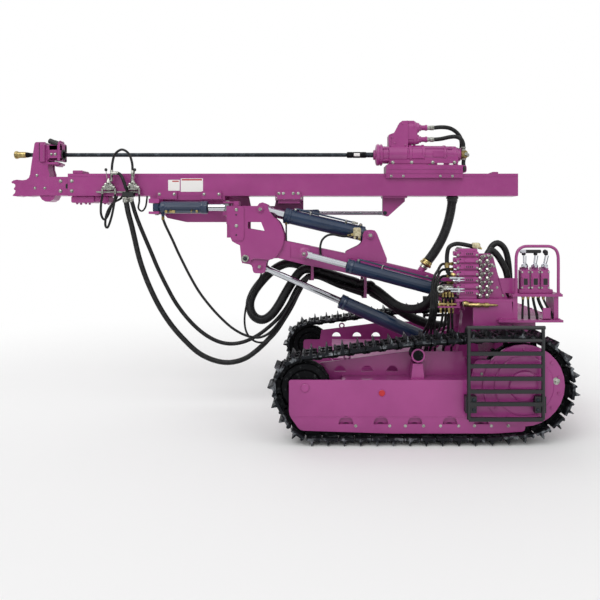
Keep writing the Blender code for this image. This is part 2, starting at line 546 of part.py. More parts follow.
part("swing_stand", "chassis", PAINT, [
    slab([(SWING_BASE_X - 0.10, BODY_Z1 + GAP), (SWING_BASE_X + 0.10, BODY_Z1 + GAP), (SWING_BASE_X + 0.05, STAND_TOP - 0.02),
          (SWING_BASE_X - 0.05, STAND_TOP - 0.02)], SWING_CYL_Y0 - 0.055, SWING_CYL_Y0 + 0.055),
    box(SWING_BASE_X - 0.06, SWING_BASE_X + 0.06, SWING_CYL_Y0 - 0.065, SWING_CYL_Y0 + 0.065, STAND_TOP - 0.03, STAND_TOP)],
    [bar((SWING_BASE_X, SWING_CYL_Y0, STAND_TOP - 0.081), (SWING_BASE_X, SWING_CYL_Y0, STAND_TOP + 0.1), 0.028 + PIN_PLAY, PIN_SIDES)])

# Head: two side plates on the boom's front pin, a top lug for the tilt cylinder and the upright feed hinge
head_side = [(-0.418, 1.835), (-0.389, 1.805), (-0.382, 1.715), (-0.362, 1.665), (-0.322, 1.641), (-0.286, 1.625),
             (-0.272, 1.486), (-0.262, 1.450), (-0.200, 1.450), (-0.150, 1.500), (0.000, 1.490), (0.056, 1.506),
             (0.096, 1.556), (0.126, 1.612), (0.146, 1.699), (0.132, 1.773), (0.097, 1.854), (0.041, 1.905),
             (0.001, 1.962), (-0.022, 2.030), (-0.063, 2.045), (-0.097, 2.036), (-0.114, 2.010), (-0.418, 2.010)]
HEAD_IN = BOOM_HALF + SIDE_PLAY       # inner face of the head's side plates
head = []
for sign in (-1, 1):
    head.append(slab(head_side, sign * HEAD_IN, sign * (HEAD_IN + 0.020)))
    head.append(boss(HEAD_X, HEAD_Z, 0.040, sign * HEAD_IN, sign * (HEAD_IN + 0.024)))
    head.append(boss(TILT_EYE[0], TILT_EYE[1], 0.034, sign * 0.068, sign * (HEAD_IN + 0.028)))
head += [box(-0.415, -0.255, -HEAD_IN - 0.005, HEAD_IN + 0.005, 1.700, 1.930),
         box(-0.320, -0.255, -HEAD_IN - 0.005, HEAD_IN + 0.005, 1.920, 2.005)]
for z0, z1 in (LUG_LOW, LUG_HIGH):
    # Hinge lugs with round ends about the upright axis
    head += [box(YAW_X - 0.070, YAW_X + 0.070, HEAD_IN, FEED_Y, z0, z1),
             bar((YAW_X, FEED_Y, z0), (YAW_X, FEED_Y, z1), 0.070, 24)]
head.append(bar((YAW_X, FEED_Y, 1.690), (YAW_X, FEED_Y, 2.015), 0.030, PIN_SIDES))
for z0, z1 in ((YAW_CYL_Z + 0.042, YAW_CYL_Z + 0.057), (YAW_CYL_Z - 0.080, YAW_CYL_Z - 0.042)):
    head.append(box(YAW_EYE[0] - 0.040, -0.300, -0.040, 0.040, z0, z1))
head.append(box(-0.350, -0.300, -0.105, 0.040, YAW_CYL_Z - 0.08, YAW_CYL_Z + 0.057))
head_cuts = [boss(HEAD_X, HEAD_Z, 0.026 + PIN_PLAY, -1, 1, PIN_SIDES),
             slab([(-0.209, 1.790), (-0.043, 1.762), (-0.080, 1.855), (-0.209, 1.855)], -0.3, 0.3)]
part("head", "head", PAINT, head, head_cuts)

# Cradle: turns on the upright hinge and guides the feed beam
knuckle0, knuckle1 = LUG_LOW[1] + GAP, LUG_HIGH[0] - 0.004
WEB_Y = FEED_Y + 0.092  # the cradle's long web, beyond the hinge
web = [(-1.225, CRADLE_TOP), (-1.225, 2.040), (-1.100, 1.900), (-0.900, 1.857), (-0.240, 1.857), (-0.100, 1.905),
       (0.060, 1.905), (0.319, 1.930), (0.319, CRADLE_TOP), (0.041, CRADLE_TOP), (0.020, 2.025), (-0.230, 2.025),
       (-0.250, CRADLE_TOP)]
cradle = [
    slab(web, WEB_Y, WEB_Y + 0.028),
    bar((YAW_X, FEED_Y, knuckle0), (YAW_X, FEED_Y, knuckle1), 0.066, 24),
    box(YAW_X - 0.05, YAW_X + 0.05, FEED_Y + 0.035, WEB_Y + 0.010, knuckle0, knuckle1),
    box(-1.225, -0.470, FEED_Y - BEAM_HALF, WEB_Y + 0.010, 2.080, CRADLE_TOP),
    box(0.041, 0.319, FEED_Y - BEAM_HALF, WEB_Y + 0.010, 2.075, CRADLE_TOP),
    box(0.070, 0.290, FEED_Y - 0.090, WEB_Y + 0.010, 2.045, 2.080),
    box(-1.200, -1.098, YAW_BASE[1] - 0.045, WEB_Y + 0.010, YAW_CYL_Z + 0.042, 2.085),
    box(-1.200, -1.098, YAW_BASE[1] - 0.045, WEB_Y + 0.010, YAW_CYL_Z - 0.066, YAW_CYL_Z - 0.042),
    box(-1.200, -1.180, FEED_Y - 0.080, WEB_Y + 0.010, YAW_CYL_Z - 0.060, 2.085),
    bar((YAW_BASE[0], YAW_BASE[1], YAW_CYL_Z - 0.050), (YAW_BASE[0], YAW_BASE[1], YAW_CYL_Z + 0.060), 0.022, PIN_SIDES),
    # Base lug of the slide cylinder, hung from the rear guide
    slab([(-0.225, SLIDE_Z - 0.040), (-0.168, SLIDE_Z - 0.040), (-0.168, 2.020), (-0.225, 2.020)], SLIDE_Y + 0.031, WEB_Y + 0.010),
    boss(SLIDE_BASE_X, SLIDE_Z, 0.016, SLIDE_Y - 0.030, SLIDE_Y + 0.040, PIN_SIDES),
]
for x0, x1 in ((-1.150, -0.950), (-0.700, -0.500), (0.060, 0.300)):
    # Guide claws that wrap the beam's lower flanges on the far side and near side
    for sign in (-1, 1):
        y = FEED_Y + sign * (BEAM_HALF + 0.006)
        cradle.append(box(x0, x1, y, y + sign * 0.016, 2.085, 2.166))
        cradle.append(box(x0, x1, FEED_Y + sign * (BEAM_HALF - 0.02), y + sign * 0.016, 2.085, CRADLE_TOP))
part("cradle", "cradle", PAINT, cradle, [bar((YAW_X, FEED_Y, 1.5), (YAW_X, FEED_Y, 2.2), 0.030 + PIN_PLAY, PIN_SIDES)])

# Feed beam: hollow rectangular section with guide rails on its top edges
feed = [box(BEAM_X0, BEAM_X1, FEED_Y - BEAM_HALF, FEED_Y + BEAM_HALF, BEAM_Z0, BEAM_Z1),
        box(-2.254, BEAM_X0 + 0.01, FEED_Y - BEAM_HALF + 0.02, FEED_Y + BEAM_HALF - 0.02, BEAM_Z0 + 0.005, 2.315)]
feed_cuts = [box(BEAM_X0 + 0.05, BEAM_X1 + 0.1, FEED_Y - BEAM_HALF + BEAM_WALL, FEED_Y + BEAM_HALF - BEAM_WALL,
                 BEAM_Z0 + BEAM_WALL, BEAM_Z1 - BEAM_WALL)]
part("feed_beam", "feed_beam", PAINT, feed, feed_cuts)

# Centralizer: column with a bored guide for the drill rod, and the toothed jaw at the tip
central = [
    slab([(-2.480, 2.125), (-2.254 - GAP, 2.125), (-2.254 - GAP, 2.400), (-2.300, 2.681), (-2.430, 2.681), (-2.480, 2.290)],
         FEED_Y - 0.085, FEED_Y + 0.085),
    box(-2.367, -2.141, FEED_Y - 0.075, FEED_Y + 0.075, 2.485, 2.640),
    slab([(-2.640, 2.150), (-2.560, 2.125), (-2.470, 2.125), (-2.470, 2.290), (-2.600, 2.290)], FEED_Y - 0.085, FEED_Y + 0.085),
]
part("centralizer", "feed_beam", PAINT, central, [bar((-3, FEED_Y, ROD_Z), (-1, FEED_Y, ROD_Z), 0.046, 20)])

# Drill string: bit, rod and coupling sleeve
part("drill_rod", "drill_string", DARK, [turned((BIT_X, FEED_Y, ROD_Z), (1, FEED_Y, ROD_Z), [
    (0, 0.030), (0.010, 0.041), (0.050, 0.041), (0.085, 0.030), (0.135, 0.024), (0.140, ROD_R),
    (0.769 - BIT_X, ROD_R), (0.776 - BIT_X, 0.031), (0.969 - BIT_X, 0.031), (0.974 - BIT_X, 0.026), (1.079 - BIT_X, 0.026)], PIN_SIDES)])

# Drifter: rock drill body with its chuck, rotation motor and sledge
part("drifter_body", "drifter", PAINT, [
    turned((1.059, FEED_Y, ROD_Z), (2, FEED_Y, ROD_Z), [
        (0, 0.080), (0.010, 0.112), (0.072, 0.112), (0.080, 0.098), (0.500, 0.098), (0.510, 0.090), (0.840, 0.090), (0.875, 0.070)], 24),
    box(1.20, 1.90, FEED_Y - 0.085, FEED_Y + 0.085, 2.444, ROD_Z)],
    [bar((1.0, FEED_Y, ROD_Z), (1.100, FEED_Y, ROD_Z), 0.026 + PIN_PLAY, PIN_SIDES)])
part("rotation_motor", "drifter", PAINT, [
    slab(rounded([(1.193, 2.640), (1.193, 2.750), (1.265, 2.770), (1.316, 2.885), (1.470, 2.905), (1.530, 2.840), (1.594, 2.830),
                  (1.594, 2.640)], 0.02), FEED_Y - 0.075, FEED_Y + 0.075)],
    [turned((1.0, FEED_Y, ROD_Z), (2, FEED_Y, ROD_Z), [(0, 0.0985 + GAP), (1, 0.0985 + GAP)], 48)])
part("sledge", "drifter", PAINT, [
    box(1.162, 1.934, FEED_Y - 0.135, FEED_Y + 0.135, BEAM_Z1 + GAP, 2.430),
    box(1.20, 1.90, FEED_Y - 0.080, FEED_Y + 0.080, 2.425, 2.444 - GAP),
    box(1.162, 1.934, FEED_Y - 0.135, FEED_Y - BEAM_HALF - 0.005, 2.300, 2.400),
    box(1.162, 1.934, FEED_Y + BEAM_HALF + 0.005, FEED_Y + 0.135, 2.300, 2.400)])

# Feed swing cylinder on the cradle's near side, with upright pins, and the slide cylinder under the beam
def ram(base, eye, bore_r, rod_r, barrel_len, bore_from, rod_from, eye_r, eye_half, pin_r, upright):
    """Plain hydraulic cylinder between two level points; its eyes turn on upright or level pins."""
    p, q = Vector(base), Vector(eye)
    span = (q - p).length

    def eye_at(c):
        if upright:
            return bar((c.x, c.y, c.z - eye_half), (c.x, c.y, c.z + eye_half), eye_r, 16)
        return boss(c.x, c.z, eye_r, c.y - eye_half, c.y + eye_half)

    def pin_at(c):
        if upright:
            return bar((c.x, c.y, c.z - 0.2), (c.x, c.y, c.z + 0.2), pin_r + PIN_PLAY, PIN_SIDES)
        return boss(c.x, c.z, pin_r + PIN_PLAY, c.y - 0.2, c.y + 0.2)

    barrel = [turned(p, q, [(eye_r * 0.9, bore_r * 0.8), (eye_r * 0.9 + 0.01, bore_r), (barrel_len - 0.04, bore_r),
                            (barrel_len - 0.035, bore_r * 1.08), (barrel_len, bore_r * 1.08)], 16),
              turned(p, q, [(0, eye_half * 0.85), (eye_r + 0.01, eye_half * 0.85)], 12), eye_at(p)]
    cuts = [turned(p, q, [(bore_from, rod_r + PIN_PLAY), (barrel_len + 0.05, rod_r + PIN_PLAY)], 14), pin_at(p)]
    rod = [turned(p, q, [(rod_from, rod_r), (span - eye_r * 0.7, rod_r)], 14), eye_at(q),
           turned(p, q, [(span - eye_r - 0.030, rod_r * 1.04), (span - eye_r * 0.6, rod_r * 1.04)], 14)]
    return barrel, cuts, rod


yaw = ram((*YAW_BASE, YAW_CYL_Z), (*YAW_EYE, YAW_CYL_Z), 0.060, 0.034, 0.500, 0.090, 0.300, 0.040, 0.036, 0.022, True)
yaw[0].append(bar((-1.070, 0, YAW_CYL_Z - 0.05), (-1.070, 0, 1.9097), 0.016, 10))   # oil port
part("yaw_barrel", "yaw_barrel", NAVY, yaw[0], yaw[1])
part("yaw_rod", "yaw_rod", CHROME, yaw[2])
slide = ram((SLIDE_BASE_X, SLIDE_Y, SLIDE_Z), (SLIDE_EYE_X, SLIDE_Y, SLIDE_Z), 0.036, 0.020, 0.663, 0.045, 0.630, 0.030, 0.024, 0.016, False)
part("slide_barrel", "cradle", NAVY, slide[0], slide[1])
part("slide_rod", "feed_beam", CHROME, slide[2])

# Bracket under the beam that the slide cylinder's rod pushes
bracket = []
for sign in (-1, 1):
    y = SLIDE_Y + sign * 0.030
    bracket.append(slab([(1.142, 1.925), (1.195, 1.915), (1.368, 2.070), (1.368, BEAM_Z0 - GAP), (1.142, BEAM_Z0 - GAP)],
                        y, y + sign * 0.014))
    bracket.append(boss(SLIDE_EYE_X, SLIDE_Z, 0.024, SLIDE_Y + sign * 0.030, SLIDE_Y + sign * 0.048, 16))
bracket.append(box(1.130, 1.380, FEED_Y - 0.09, FEED_Y + 0.09, BEAM_Z0 - 0.018, BEAM_Z0 - GAP))
part("slide_bracket", "feed_beam", PAINT, bracket)

# Front valves on the beam's near face
part("front_valves", "feed_beam", SILVER, [
    box(-1.760, -1.340, 0.060, FEED_Y - BEAM_HALF - GAP, 2.150, 2.165),
    box(-1.490, -1.375, 0.026, FEED_Y - BEAM_HALF - GAP, 2.1055, 2.156),
    box(-1.740, -1.610, 0.020, FEED_Y - BEAM_HALF - GAP, 2.160, 2.280),
    box(-1.480, -1.350, 0.020, FEED_Y - BEAM_HALF - GAP, 2.160, 2.280),
    bar((-1.675, 0.026, 2.27), (-1.675, 0.026, 2.40), 0.016), bar((-1.675, 0.026, 2.385), (-1.675, 0.026, 2.425), 0.028),
    bar((-1.415, 0.026, 2.27), (-1.415, 0.026, 2.38), 0.016), bar((-1.415, 0.026, 2.365), (-1.415, 0.026, 2.405), 0.028)])

# Controls on the rear deck's left side: valve bank, fitting panel, levers and their guard rail
CONSOLE_Y = -0.62
STAND_Z = 1.190
part("console_stand", "chassis", PAINT, [
    box(1.700, 2.230, CONSOLE_Y - 0.10, CONSOLE_Y + 0.10, STAND_Z - 0.045, STAND_Z - 0.025),
    box(2.190, 2.630, CONSOLE_Y - 0.12, CONSOLE_Y + 0.12, STAND_Z, STAND_Z + 0.022),
    box(2.200, 2.240, CONSOLE_Y - 0.10, CONSOLE_Y + 0.10, DECK_TOP + GAP, STAND_Z + 0.01),
    box(2.020, 2.230, CONSOLE_Y - 0.08, CONSOLE_Y + 0.08, DECK_TOP + GAP, STAND_Z - 0.03),
    box(2.560, 2.600, CONSOLE_Y - 0.10, CONSOLE_Y + 0.10, DECK_TOP + GAP, STAND_Z + 0.01)])
bank_z = STAND_Z - 0.025 + GAP
bank = [box(1.735, 1.890, CONSOLE_Y - 0.06, CONSOLE_Y + 0.06, bank_z, 1.600)]
for i in range(7):
    z = bank_z + 0.035 + 0.057 * i
    bank.append(box(1.705, 1.903, CONSOLE_Y - 0.08, CONSOLE_Y + 0.08, z, z + 0.044))
# Pipe and elbow to the boom's hose
bank += [bar((1.608, CONSOLE_Y - 0.010, 1.252), (1.72, CONSOLE_Y - 0.010, 1.252), 0.034, 12),
         bar((1.577, CONSOLE_Y - 0.0005, 1.2355), (1.616, CONSOLE_Y - 0.018, 1.2615), 0.036, 12)]
part("valve_bank", "chassis", PAINT, bank)
part("fitting_panel", "chassis", PAINT, [
    slab([(1.910, 1.565), (2.030, 1.565), (2.050, 1.540), (2.095, 1.370), (2.180, bank_z), (1.910, bank_z)],
         CONSOLE_Y - 0.006, CONSOLE_Y + 0.006)]
    + [boss(x, 1.190 + 0.062 * i, 0.020, CONSOLE_Y - 0.050, CONSOLE_Y, 6) for x in (1.955, 2.030) for i in range(6)])
lever_z = STAND_Z + 0.022 + GAP
levers = [box(2.270, 2.570, CONSOLE_Y - 0.05, CONSOLE_Y + 0.05, lever_z, lever_z + 0.035)]
for x0, x1 in ((2.290, 2.365), (2.378, 2.455), (2.465, 2.542)):
    levers.append(box(x0, x1, CONSOLE_Y - 0.045, CONSOLE_Y + 0.045, lever_z + 0.03, 1.440))
    levers.append(bar(((x0 + x1) / 2, CONSOLE_Y, 1.43), ((x0 + x1) / 2, CONSOLE_Y, 1.56), 0.008))
    levers.append(bar(((x0 + x1) / 2, CONSOLE_Y, 1.54), ((x0 + x1) / 2, CONSOLE_Y, 1.59), 0.018))
part("lever_bank", "chassis", PAINT, levers)
hoop_y = CONSOLE_Y - 0.095
part("guard_rail", "chassis", PAINT, [
    bar((2.228, hoop_y, lever_z), (2.228, hoop_y, 1.600), 0.013), bar((2.600, hoop_y, lever_z), (2.600, hoop_y, 1.600), 0.013),
    bar((2.228, hoop_y, 1.590), (2.268, hoop_y, 1.630), 0.013), bar((2.560, hoop_y, 1.630), (2.600, hoop_y, 1.590), 0.013),
    bar((2.262, hoop_y, 1.627), (2.566, hoop_y, 1.627), 0.013),
    bar((2.228, hoop_y, lever_z), (2.228, hoop_y, lever_z + 0.008), 0.024), bar((2.600, hoop_y, lever_z), (2.600, hoop_y, lever_z + 0.008), 0.024)])

# Hoses: the free ones lie as the rig is parked, and those in the boom's hangers are fixed to it
# Name: outer radius, and the places (x, y, z) that its middle line passes
HOSES = {
    "front_hose_a": (0.027, [
        (-1.458, 0.055, 2.1055), (-1.452, 0.055, 2.047), (-1.434, 0.058, 1.946), (-1.403, 0.062, 1.825),
        (-1.37, 0.068, 1.674), (-1.332, 0.075, 1.503), (-1.279, 0.085, 1.33), (-1.211, 0.095, 1.158),
        (-1.123, 0.105, 0.979), (-1.014, 0.115, 0.81), (-0.883, 0.122, 0.657), (-0.738, 0.13, 0.523),
        (-0.578, 0.135, 0.446), (-0.423, 0.135, 0.426), (-0.27, 0.135, 0.466), (-0.138, 0.135, 0.558),
        (-0.02, 0.135, 0.675), (0.087, 0.135, 0.812), (0.188, 0.135, 0.97), (0.262, 0.135, 1.118),
        (0.320, 0.135, 1.225), (0.358, 0.135, 1.282), (HANGER_FRONT, 0.135, 1.303)]),
    "front_hose_b": (0.02, [
        (-1.402, 0.055, 2.1055), (-1.393, 0.055, 2.047), (-1.365, 0.058, 1.946), (-1.322, 0.065, 1.825),
        (-1.266, 0.075, 1.684), (-1.21, 0.09, 1.542), (-1.153, 0.105, 1.395), (-1.071, 0.12, 1.216),
        (-0.973, 0.135, 1.031), (-0.844, 0.15, 0.856), (-0.704, 0.165, 0.721), (-0.563, 0.18, 0.636),
        (-0.431, 0.19, 0.606), (-0.299, 0.2, 0.622), (-0.166, 0.205, 0.68), (-0.053, 0.205, 0.76),
        (0.061, 0.205, 0.865), (0.164, 0.205, 1.002), (0.232, 0.208, 1.138), (0.292, 0.212, 1.232),
        (0.345, 0.215, 1.284), (HANGER_FRONT, 0.215, 1.300)]),
    "front_hose_c": (0.013, [
        (-1.07, 0, 1.9097), (-1.066, 0, 1.875), (-1.042, 0, 1.815), (-1.009, 0.003, 1.745),
        (-0.972, 0.008, 1.665), (-0.929, 0.015, 1.565), (-0.875, 0.022, 1.45), (-0.808, 0.032, 1.314),
        (-0.72, 0.042, 1.158), (-0.612, 0.055, 1.011), (-0.503, 0.065, 0.889), (-0.384, 0.078, 0.781),
        (-0.253, 0.085, 0.709), (-0.122, 0.088, 0.688), (-0.011, 0.088, 0.739), (0.09, 0.088, 0.855),
        (0.181, 0.088, 1.002), (0.262, 0.088, 1.135), (0.322, 0.090, 1.235), (0.358, 0.092, 1.282),
        (HANGER_FRONT, 0.092, 1.300)]),
    "front_hose_d": (0.01, [
        (-0.100, 0.088, 1.35), (-0.106, 0.088, 1.305), (-0.140, 0.085, 1.239), (-0.190, 0.078, 1.149),
        (-0.233, 0.07, 1.059), (-0.257, 0.062, 0.959), (-0.264, 0.058, 0.849), (-0.245, 0.057, 0.749),
        (-0.189, 0.057, 0.673), (-0.109, 0.057, 0.643), (-0.018, 0.057, 0.668), (0.067, 0.057, 0.754),
        (0.158, 0.057, 0.895), (0.243, 0.057, 1.051), (0.316, 0.058, 1.190), (0.352, 0.060, 1.262),
        (HANGER_FRONT, 0.062, 1.292)]),
    "hose_loop": (0.047, [
        (HANGER_FRONT, 0.24, 1.372), (0.315, 0.24, 1.399), (0.244, 0.24, 1.423), (0.162, 0.24, 1.431), (0.074, 0.238, 1.402),
        (-0.019, 0.236, 1.337), (-0.107, 0.234, 1.247), (-0.184, 0.232, 1.144), (-0.228, 0.23, 1.036),
        (-0.22, 0.225, 0.938), (-0.169, 0.218, 0.869), (-0.089, 0.208, 0.852), (-0.006, 0.197, 0.904),
        (0.067, 0.185, 1), (0.132, 0.170, 1.114), (0.197, 0.156, 1.223), (0.258, 0.144, 1.312),
        (0.305, 0.139, 1.360), (0.350, 0.138, 1.380), (HANGER_FRONT, 0.138, 1.382)]),
    "boom_hose_near": (0.05, [
        (HANGER_FRONT + HANGER_T, 0.147, 1.366), (0.500, 0.15, 1.350), (0.596, 0.15, 1.324), (0.749, 0.15, 1.275),
        (0.851, 0.15, 1.244), (HANGER_REAR, 0.15, 1.226)]),
    "boom_hose_far": (0.05, [
        (HANGER_FRONT + HANGER_T, 0.24, 1.360), (0.500, 0.24, 1.342), (0.597, 0.24, 1.311), (0.752, 0.24, 1.252),
        (0.856, 0.24, 1.200), (HANGER_REAR, 0.24, 1.170)]),
    "rear_hose_near": (0.042, [
        (HANGER_REAR + HANGER_T, 0.15, 1.216), (1.024, 0.142, 1.196), (1.084, 0.12, 1.159), (1.141, 0.085, 1.114),
        (1.201, 0.03, 1.066), (1.258, -0.04, 1.03), (1.316, -0.13, 1.014), (1.372, -0.22, 1.016),
        (1.425, -0.31, 1.034), (1.472, -0.4, 1.072), (1.506, -0.475, 1.12), (1.529, -0.54, 1.175),
        (1.543, -0.605, 1.213), (1.577, -0.6205, 1.2355)]),
    "rear_hose_far": (0.05, [
        (HANGER_REAR + HANGER_T, 0.24, 1.158), (1.040, 0.24, 1.128), (1.135, 0.24, 1.075), (1.218, 0.24, 1.017), (1.301, 0.24, 0.958),
        (1.384, 0.238, 0.903), (1.476, 0.235, 0.854), (1.58, 0.235, 0.815), (1.695, 0.24, 0.789),
        (1.821, 0.25, 0.773), (1.958, 0.26, 0.765), (2.12, 0.27, 0.763)]),
    "feed_hose": (0.048, [
        (1.855, 0.2, 2.12), (1.852, 0.2, 2.063), (1.841, 0.196, 1.986), (1.821, 0.188, 1.898),
        (1.792, 0.172, 1.806), (1.753, 0.15, 1.714), (1.704, 0.122, 1.628), (1.652, 0.09, 1.552),
        (1.602, 0.062, 1.49), (1.573, 0.047, 1.458), (1.5467, 0.045, 1.4207)]),
}


def through(points, count):
    """Count points at equal steps on the smooth curve through the given ones."""
    known = [Vector(p) for p in points]
    known = [known[0] * 2 - known[1]] + known + [known[-1] * 2 - known[-2]]
    fine = []
    for a, b, c, d in zip(known, known[1:], known[2:], known[3:]):
        for k in range(12):
            t = k / 12
            fine.append(0.5 * (b * 2 + (c - a) * t + (a * 2 - b * 5 + c * 4 - d) * t * t + (b * 3 - a - c * 3 + d) * t ** 3))
    fine.append(known[-2])
    gone = [0.0]
    for a, b in zip(fine, fine[1:]):
        gone.append(gone[-1] + (b - a).length)
    out, i = [], 0
    for k in range(count):
        want = gone[-1] * k / (count - 1)
        while i < len(fine) - 2 and gone[i + 1] < want:
            i += 1
        out.append(fine[i].lerp(fine[i + 1], (want - gone[i]) / (gone[i + 1] - gone[i])))
    return out


# Ways in which a hose leaves its first and last seat, square to their faces
DOWN, AHEAD, BACK = (0, 0, -1), (-1, 0, 0), (1, 0, 0)
WAYS = {
    "front_hose_a": (DOWN, AHEAD), "front_hose_b": (DOWN, AHEAD), "front_hose_c": (DOWN, AHEAD), "front_hose_d": (DOWN, AHEAD),
    "hose_loop": (AHEAD, AHEAD), "boom_hose_near": (BACK, AHEAD), "boom_hose_far": (BACK, AHEAD),
    "rear_hose_near": (BACK, (-0.778, 0.349, -0.519)), "rear_hose_far": (BACK, AHEAD), "feed_hose": (DOWN, (0.58, 0, 0.815)),
}


def seated(name, count):
    """Count points along the hose, with its two ends square to their seats and a hair's breadth off them."""
    radius, route = HOSES[name]
    points = through(route, count)
    first, last = (Vector(way).normalized() for way in WAYS[name])
    start, end = Vector(route[0]) + first * GAP, Vector(route[-1]) + last * GAP
    return [start, start + first * radius] + points[1:-1] + [end + last * radius, end]


def hose(name, body, count):
    """Free hose: a round tube on its route."""
    radius = HOSES[name][0]
    data = bpy.data.curves.new(name, "CURVE")
    data.dimensions = "3D"
    data.bevel_depth = radius
    data.bevel_resolution = 2
    data.use_fill_caps = True
    points = seated(name, count)
    spline = data.splines.new("POLY")
    spline.points.add(len(points) - 1)
    base = Vector(BODIES[body][1])
    for place, p in zip(spline.points, points):
        place.co = (*(p - base), 1.0)
    data.materials.append(RUBBER)
    obj = bpy.data.objects.new(name, data)
    bpy.context.scene.collection.objects.link(obj)
    obj.parent = EMPTIES[body]
    return obj


def tube(points, r, n=10):
    """Closed round tube along points."""
    bm = bmesh.new()
    side, rings = Vector((0, 1, 0)), []
    for i, p in enumerate(points):
        along = (points[min(i + 1, len(points) - 1)] - points[max(i - 1, 0)]).normalized()
        side = (side - along * side.dot(along)).normalized()
        up = along.cross(side)
        rings.append([bm.verts.new(p + (side * math.cos(math.tau * k / n) + up * math.sin(math.tau * k / n)) * r)
                      for k in range(n)])
    for a, b in zip(rings, rings[1:]):
        for i in range(n):
            k = (i + 1) % n
            bm.faces.new((a[i], a[k], b[k], b[i]))
    bm.faces.new(rings[0])
    bm.faces.new(rings[-1])
    return finish_mesh(bm)


part("boom_hoses", "boom", RUBBER, [
    tube(seated("boom_hose_near", 6), HOSES["boom_hose_near"][0]),
    tube(seated("boom_hose_far", 6), HOSES["boom_hose_far"][0])])
for name, count in (("front_hose_a", 24), ("front_hose_b", 24), ("front_hose_c", 30), ("front_hose_d", 28), ("hose_loop", 19),
                    ("rear_hose_near", 14), ("rear_hose_far", 13), ("feed_hose", 13)):
    hose(name, "boom", count)
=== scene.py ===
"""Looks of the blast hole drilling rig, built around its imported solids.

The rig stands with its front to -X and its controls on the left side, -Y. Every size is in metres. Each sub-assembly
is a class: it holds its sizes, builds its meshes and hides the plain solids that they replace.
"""

from __future__ import annotations

import json
import logging
import math
from dataclasses import dataclass, field
from enum import Enum
from typing import Iterable, Sequence

import bmesh
import bpy
from mathutils import Matrix, Vector
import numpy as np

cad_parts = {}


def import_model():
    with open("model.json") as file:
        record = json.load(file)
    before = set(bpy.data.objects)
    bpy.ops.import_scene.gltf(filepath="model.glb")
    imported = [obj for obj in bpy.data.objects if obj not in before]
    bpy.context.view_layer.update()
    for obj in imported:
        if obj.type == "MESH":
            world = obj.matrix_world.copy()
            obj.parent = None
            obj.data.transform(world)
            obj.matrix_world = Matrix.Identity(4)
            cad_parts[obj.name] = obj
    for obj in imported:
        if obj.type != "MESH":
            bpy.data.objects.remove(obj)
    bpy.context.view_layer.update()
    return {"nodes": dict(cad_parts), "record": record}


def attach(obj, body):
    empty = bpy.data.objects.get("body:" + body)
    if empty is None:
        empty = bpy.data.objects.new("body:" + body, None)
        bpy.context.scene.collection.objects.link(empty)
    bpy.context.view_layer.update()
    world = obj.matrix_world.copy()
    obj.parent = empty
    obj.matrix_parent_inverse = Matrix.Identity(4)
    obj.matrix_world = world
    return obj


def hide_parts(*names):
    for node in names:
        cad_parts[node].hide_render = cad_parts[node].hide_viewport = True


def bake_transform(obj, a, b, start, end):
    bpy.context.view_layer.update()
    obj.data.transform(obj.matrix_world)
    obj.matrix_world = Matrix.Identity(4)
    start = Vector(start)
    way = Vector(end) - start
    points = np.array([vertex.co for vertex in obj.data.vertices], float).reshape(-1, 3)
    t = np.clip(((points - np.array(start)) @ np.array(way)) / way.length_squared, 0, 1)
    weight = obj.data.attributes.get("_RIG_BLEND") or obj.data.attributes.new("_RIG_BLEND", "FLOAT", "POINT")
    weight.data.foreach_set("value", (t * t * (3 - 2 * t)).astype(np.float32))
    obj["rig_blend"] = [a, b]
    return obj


LOG = logging.getLogger("drill_rig")
Flat = tuple[float, float]
Place = tuple[float, float, float]


# ---------------------------------------------------------------------------------------------------------------------
# Node trees
# ---------------------------------------------------------------------------------------------------------------------
def linear(colour: str) -> tuple[float, float, float, float]:
    """Turns an sRGB hex value to linear.

    Args:
        colour: six hex digits after a hash sign.

    Returns:
        Linear red, green, blue and an alpha of 1.
    """
    parts = [int(colour[i:i + 2], 16) / 255 for i in (1, 3, 5)]
    return (*[c / 12.92 if c <= 0.04045 else ((c + 0.055) / 1.055) ** 2.4 for c in parts], 1.0)


def add(tree: bpy.types.NodeTree, kind: str, inputs: dict | None = None, **settings: object) -> bpy.types.Node:
    """Adds a node to a tree.

    Args:
        tree: the tree that gets the node.
        kind: the node's class name.
        inputs: value or socket for each input, by its name or number.
        settings: attributes of the node itself.

    Returns:
        The new node.
    """
    node = tree.nodes.new(kind)
    for key, value in settings.items():
        setattr(node, key, value)
    for key, value in (inputs or {}).items():
        socket = node.inputs[key]
        if isinstance(value, bpy.types.NodeSocket):
            tree.links.new(value, socket)
        else:
            socket.default_value = value
    return node


def ramp(node: bpy.types.Node, stops: Sequence[tuple[float, object]]) -> bpy.types.Node:
    """Sets a colour ramp's stops.

    Args:
        node: the colour ramp node.
        stops: position and colour, or grey level, of each stop.

    Returns:
        The same node.
    """
    band = node.color_ramp
    while len(band.elements) < len(stops):
        band.elements.new(1.0)
    for element, (position, colour) in zip(band.elements, stops):
        element.position = position
        element.color = linear(colour) if isinstance(colour, str) else (colour, colour, colour, 1.0)
    return node


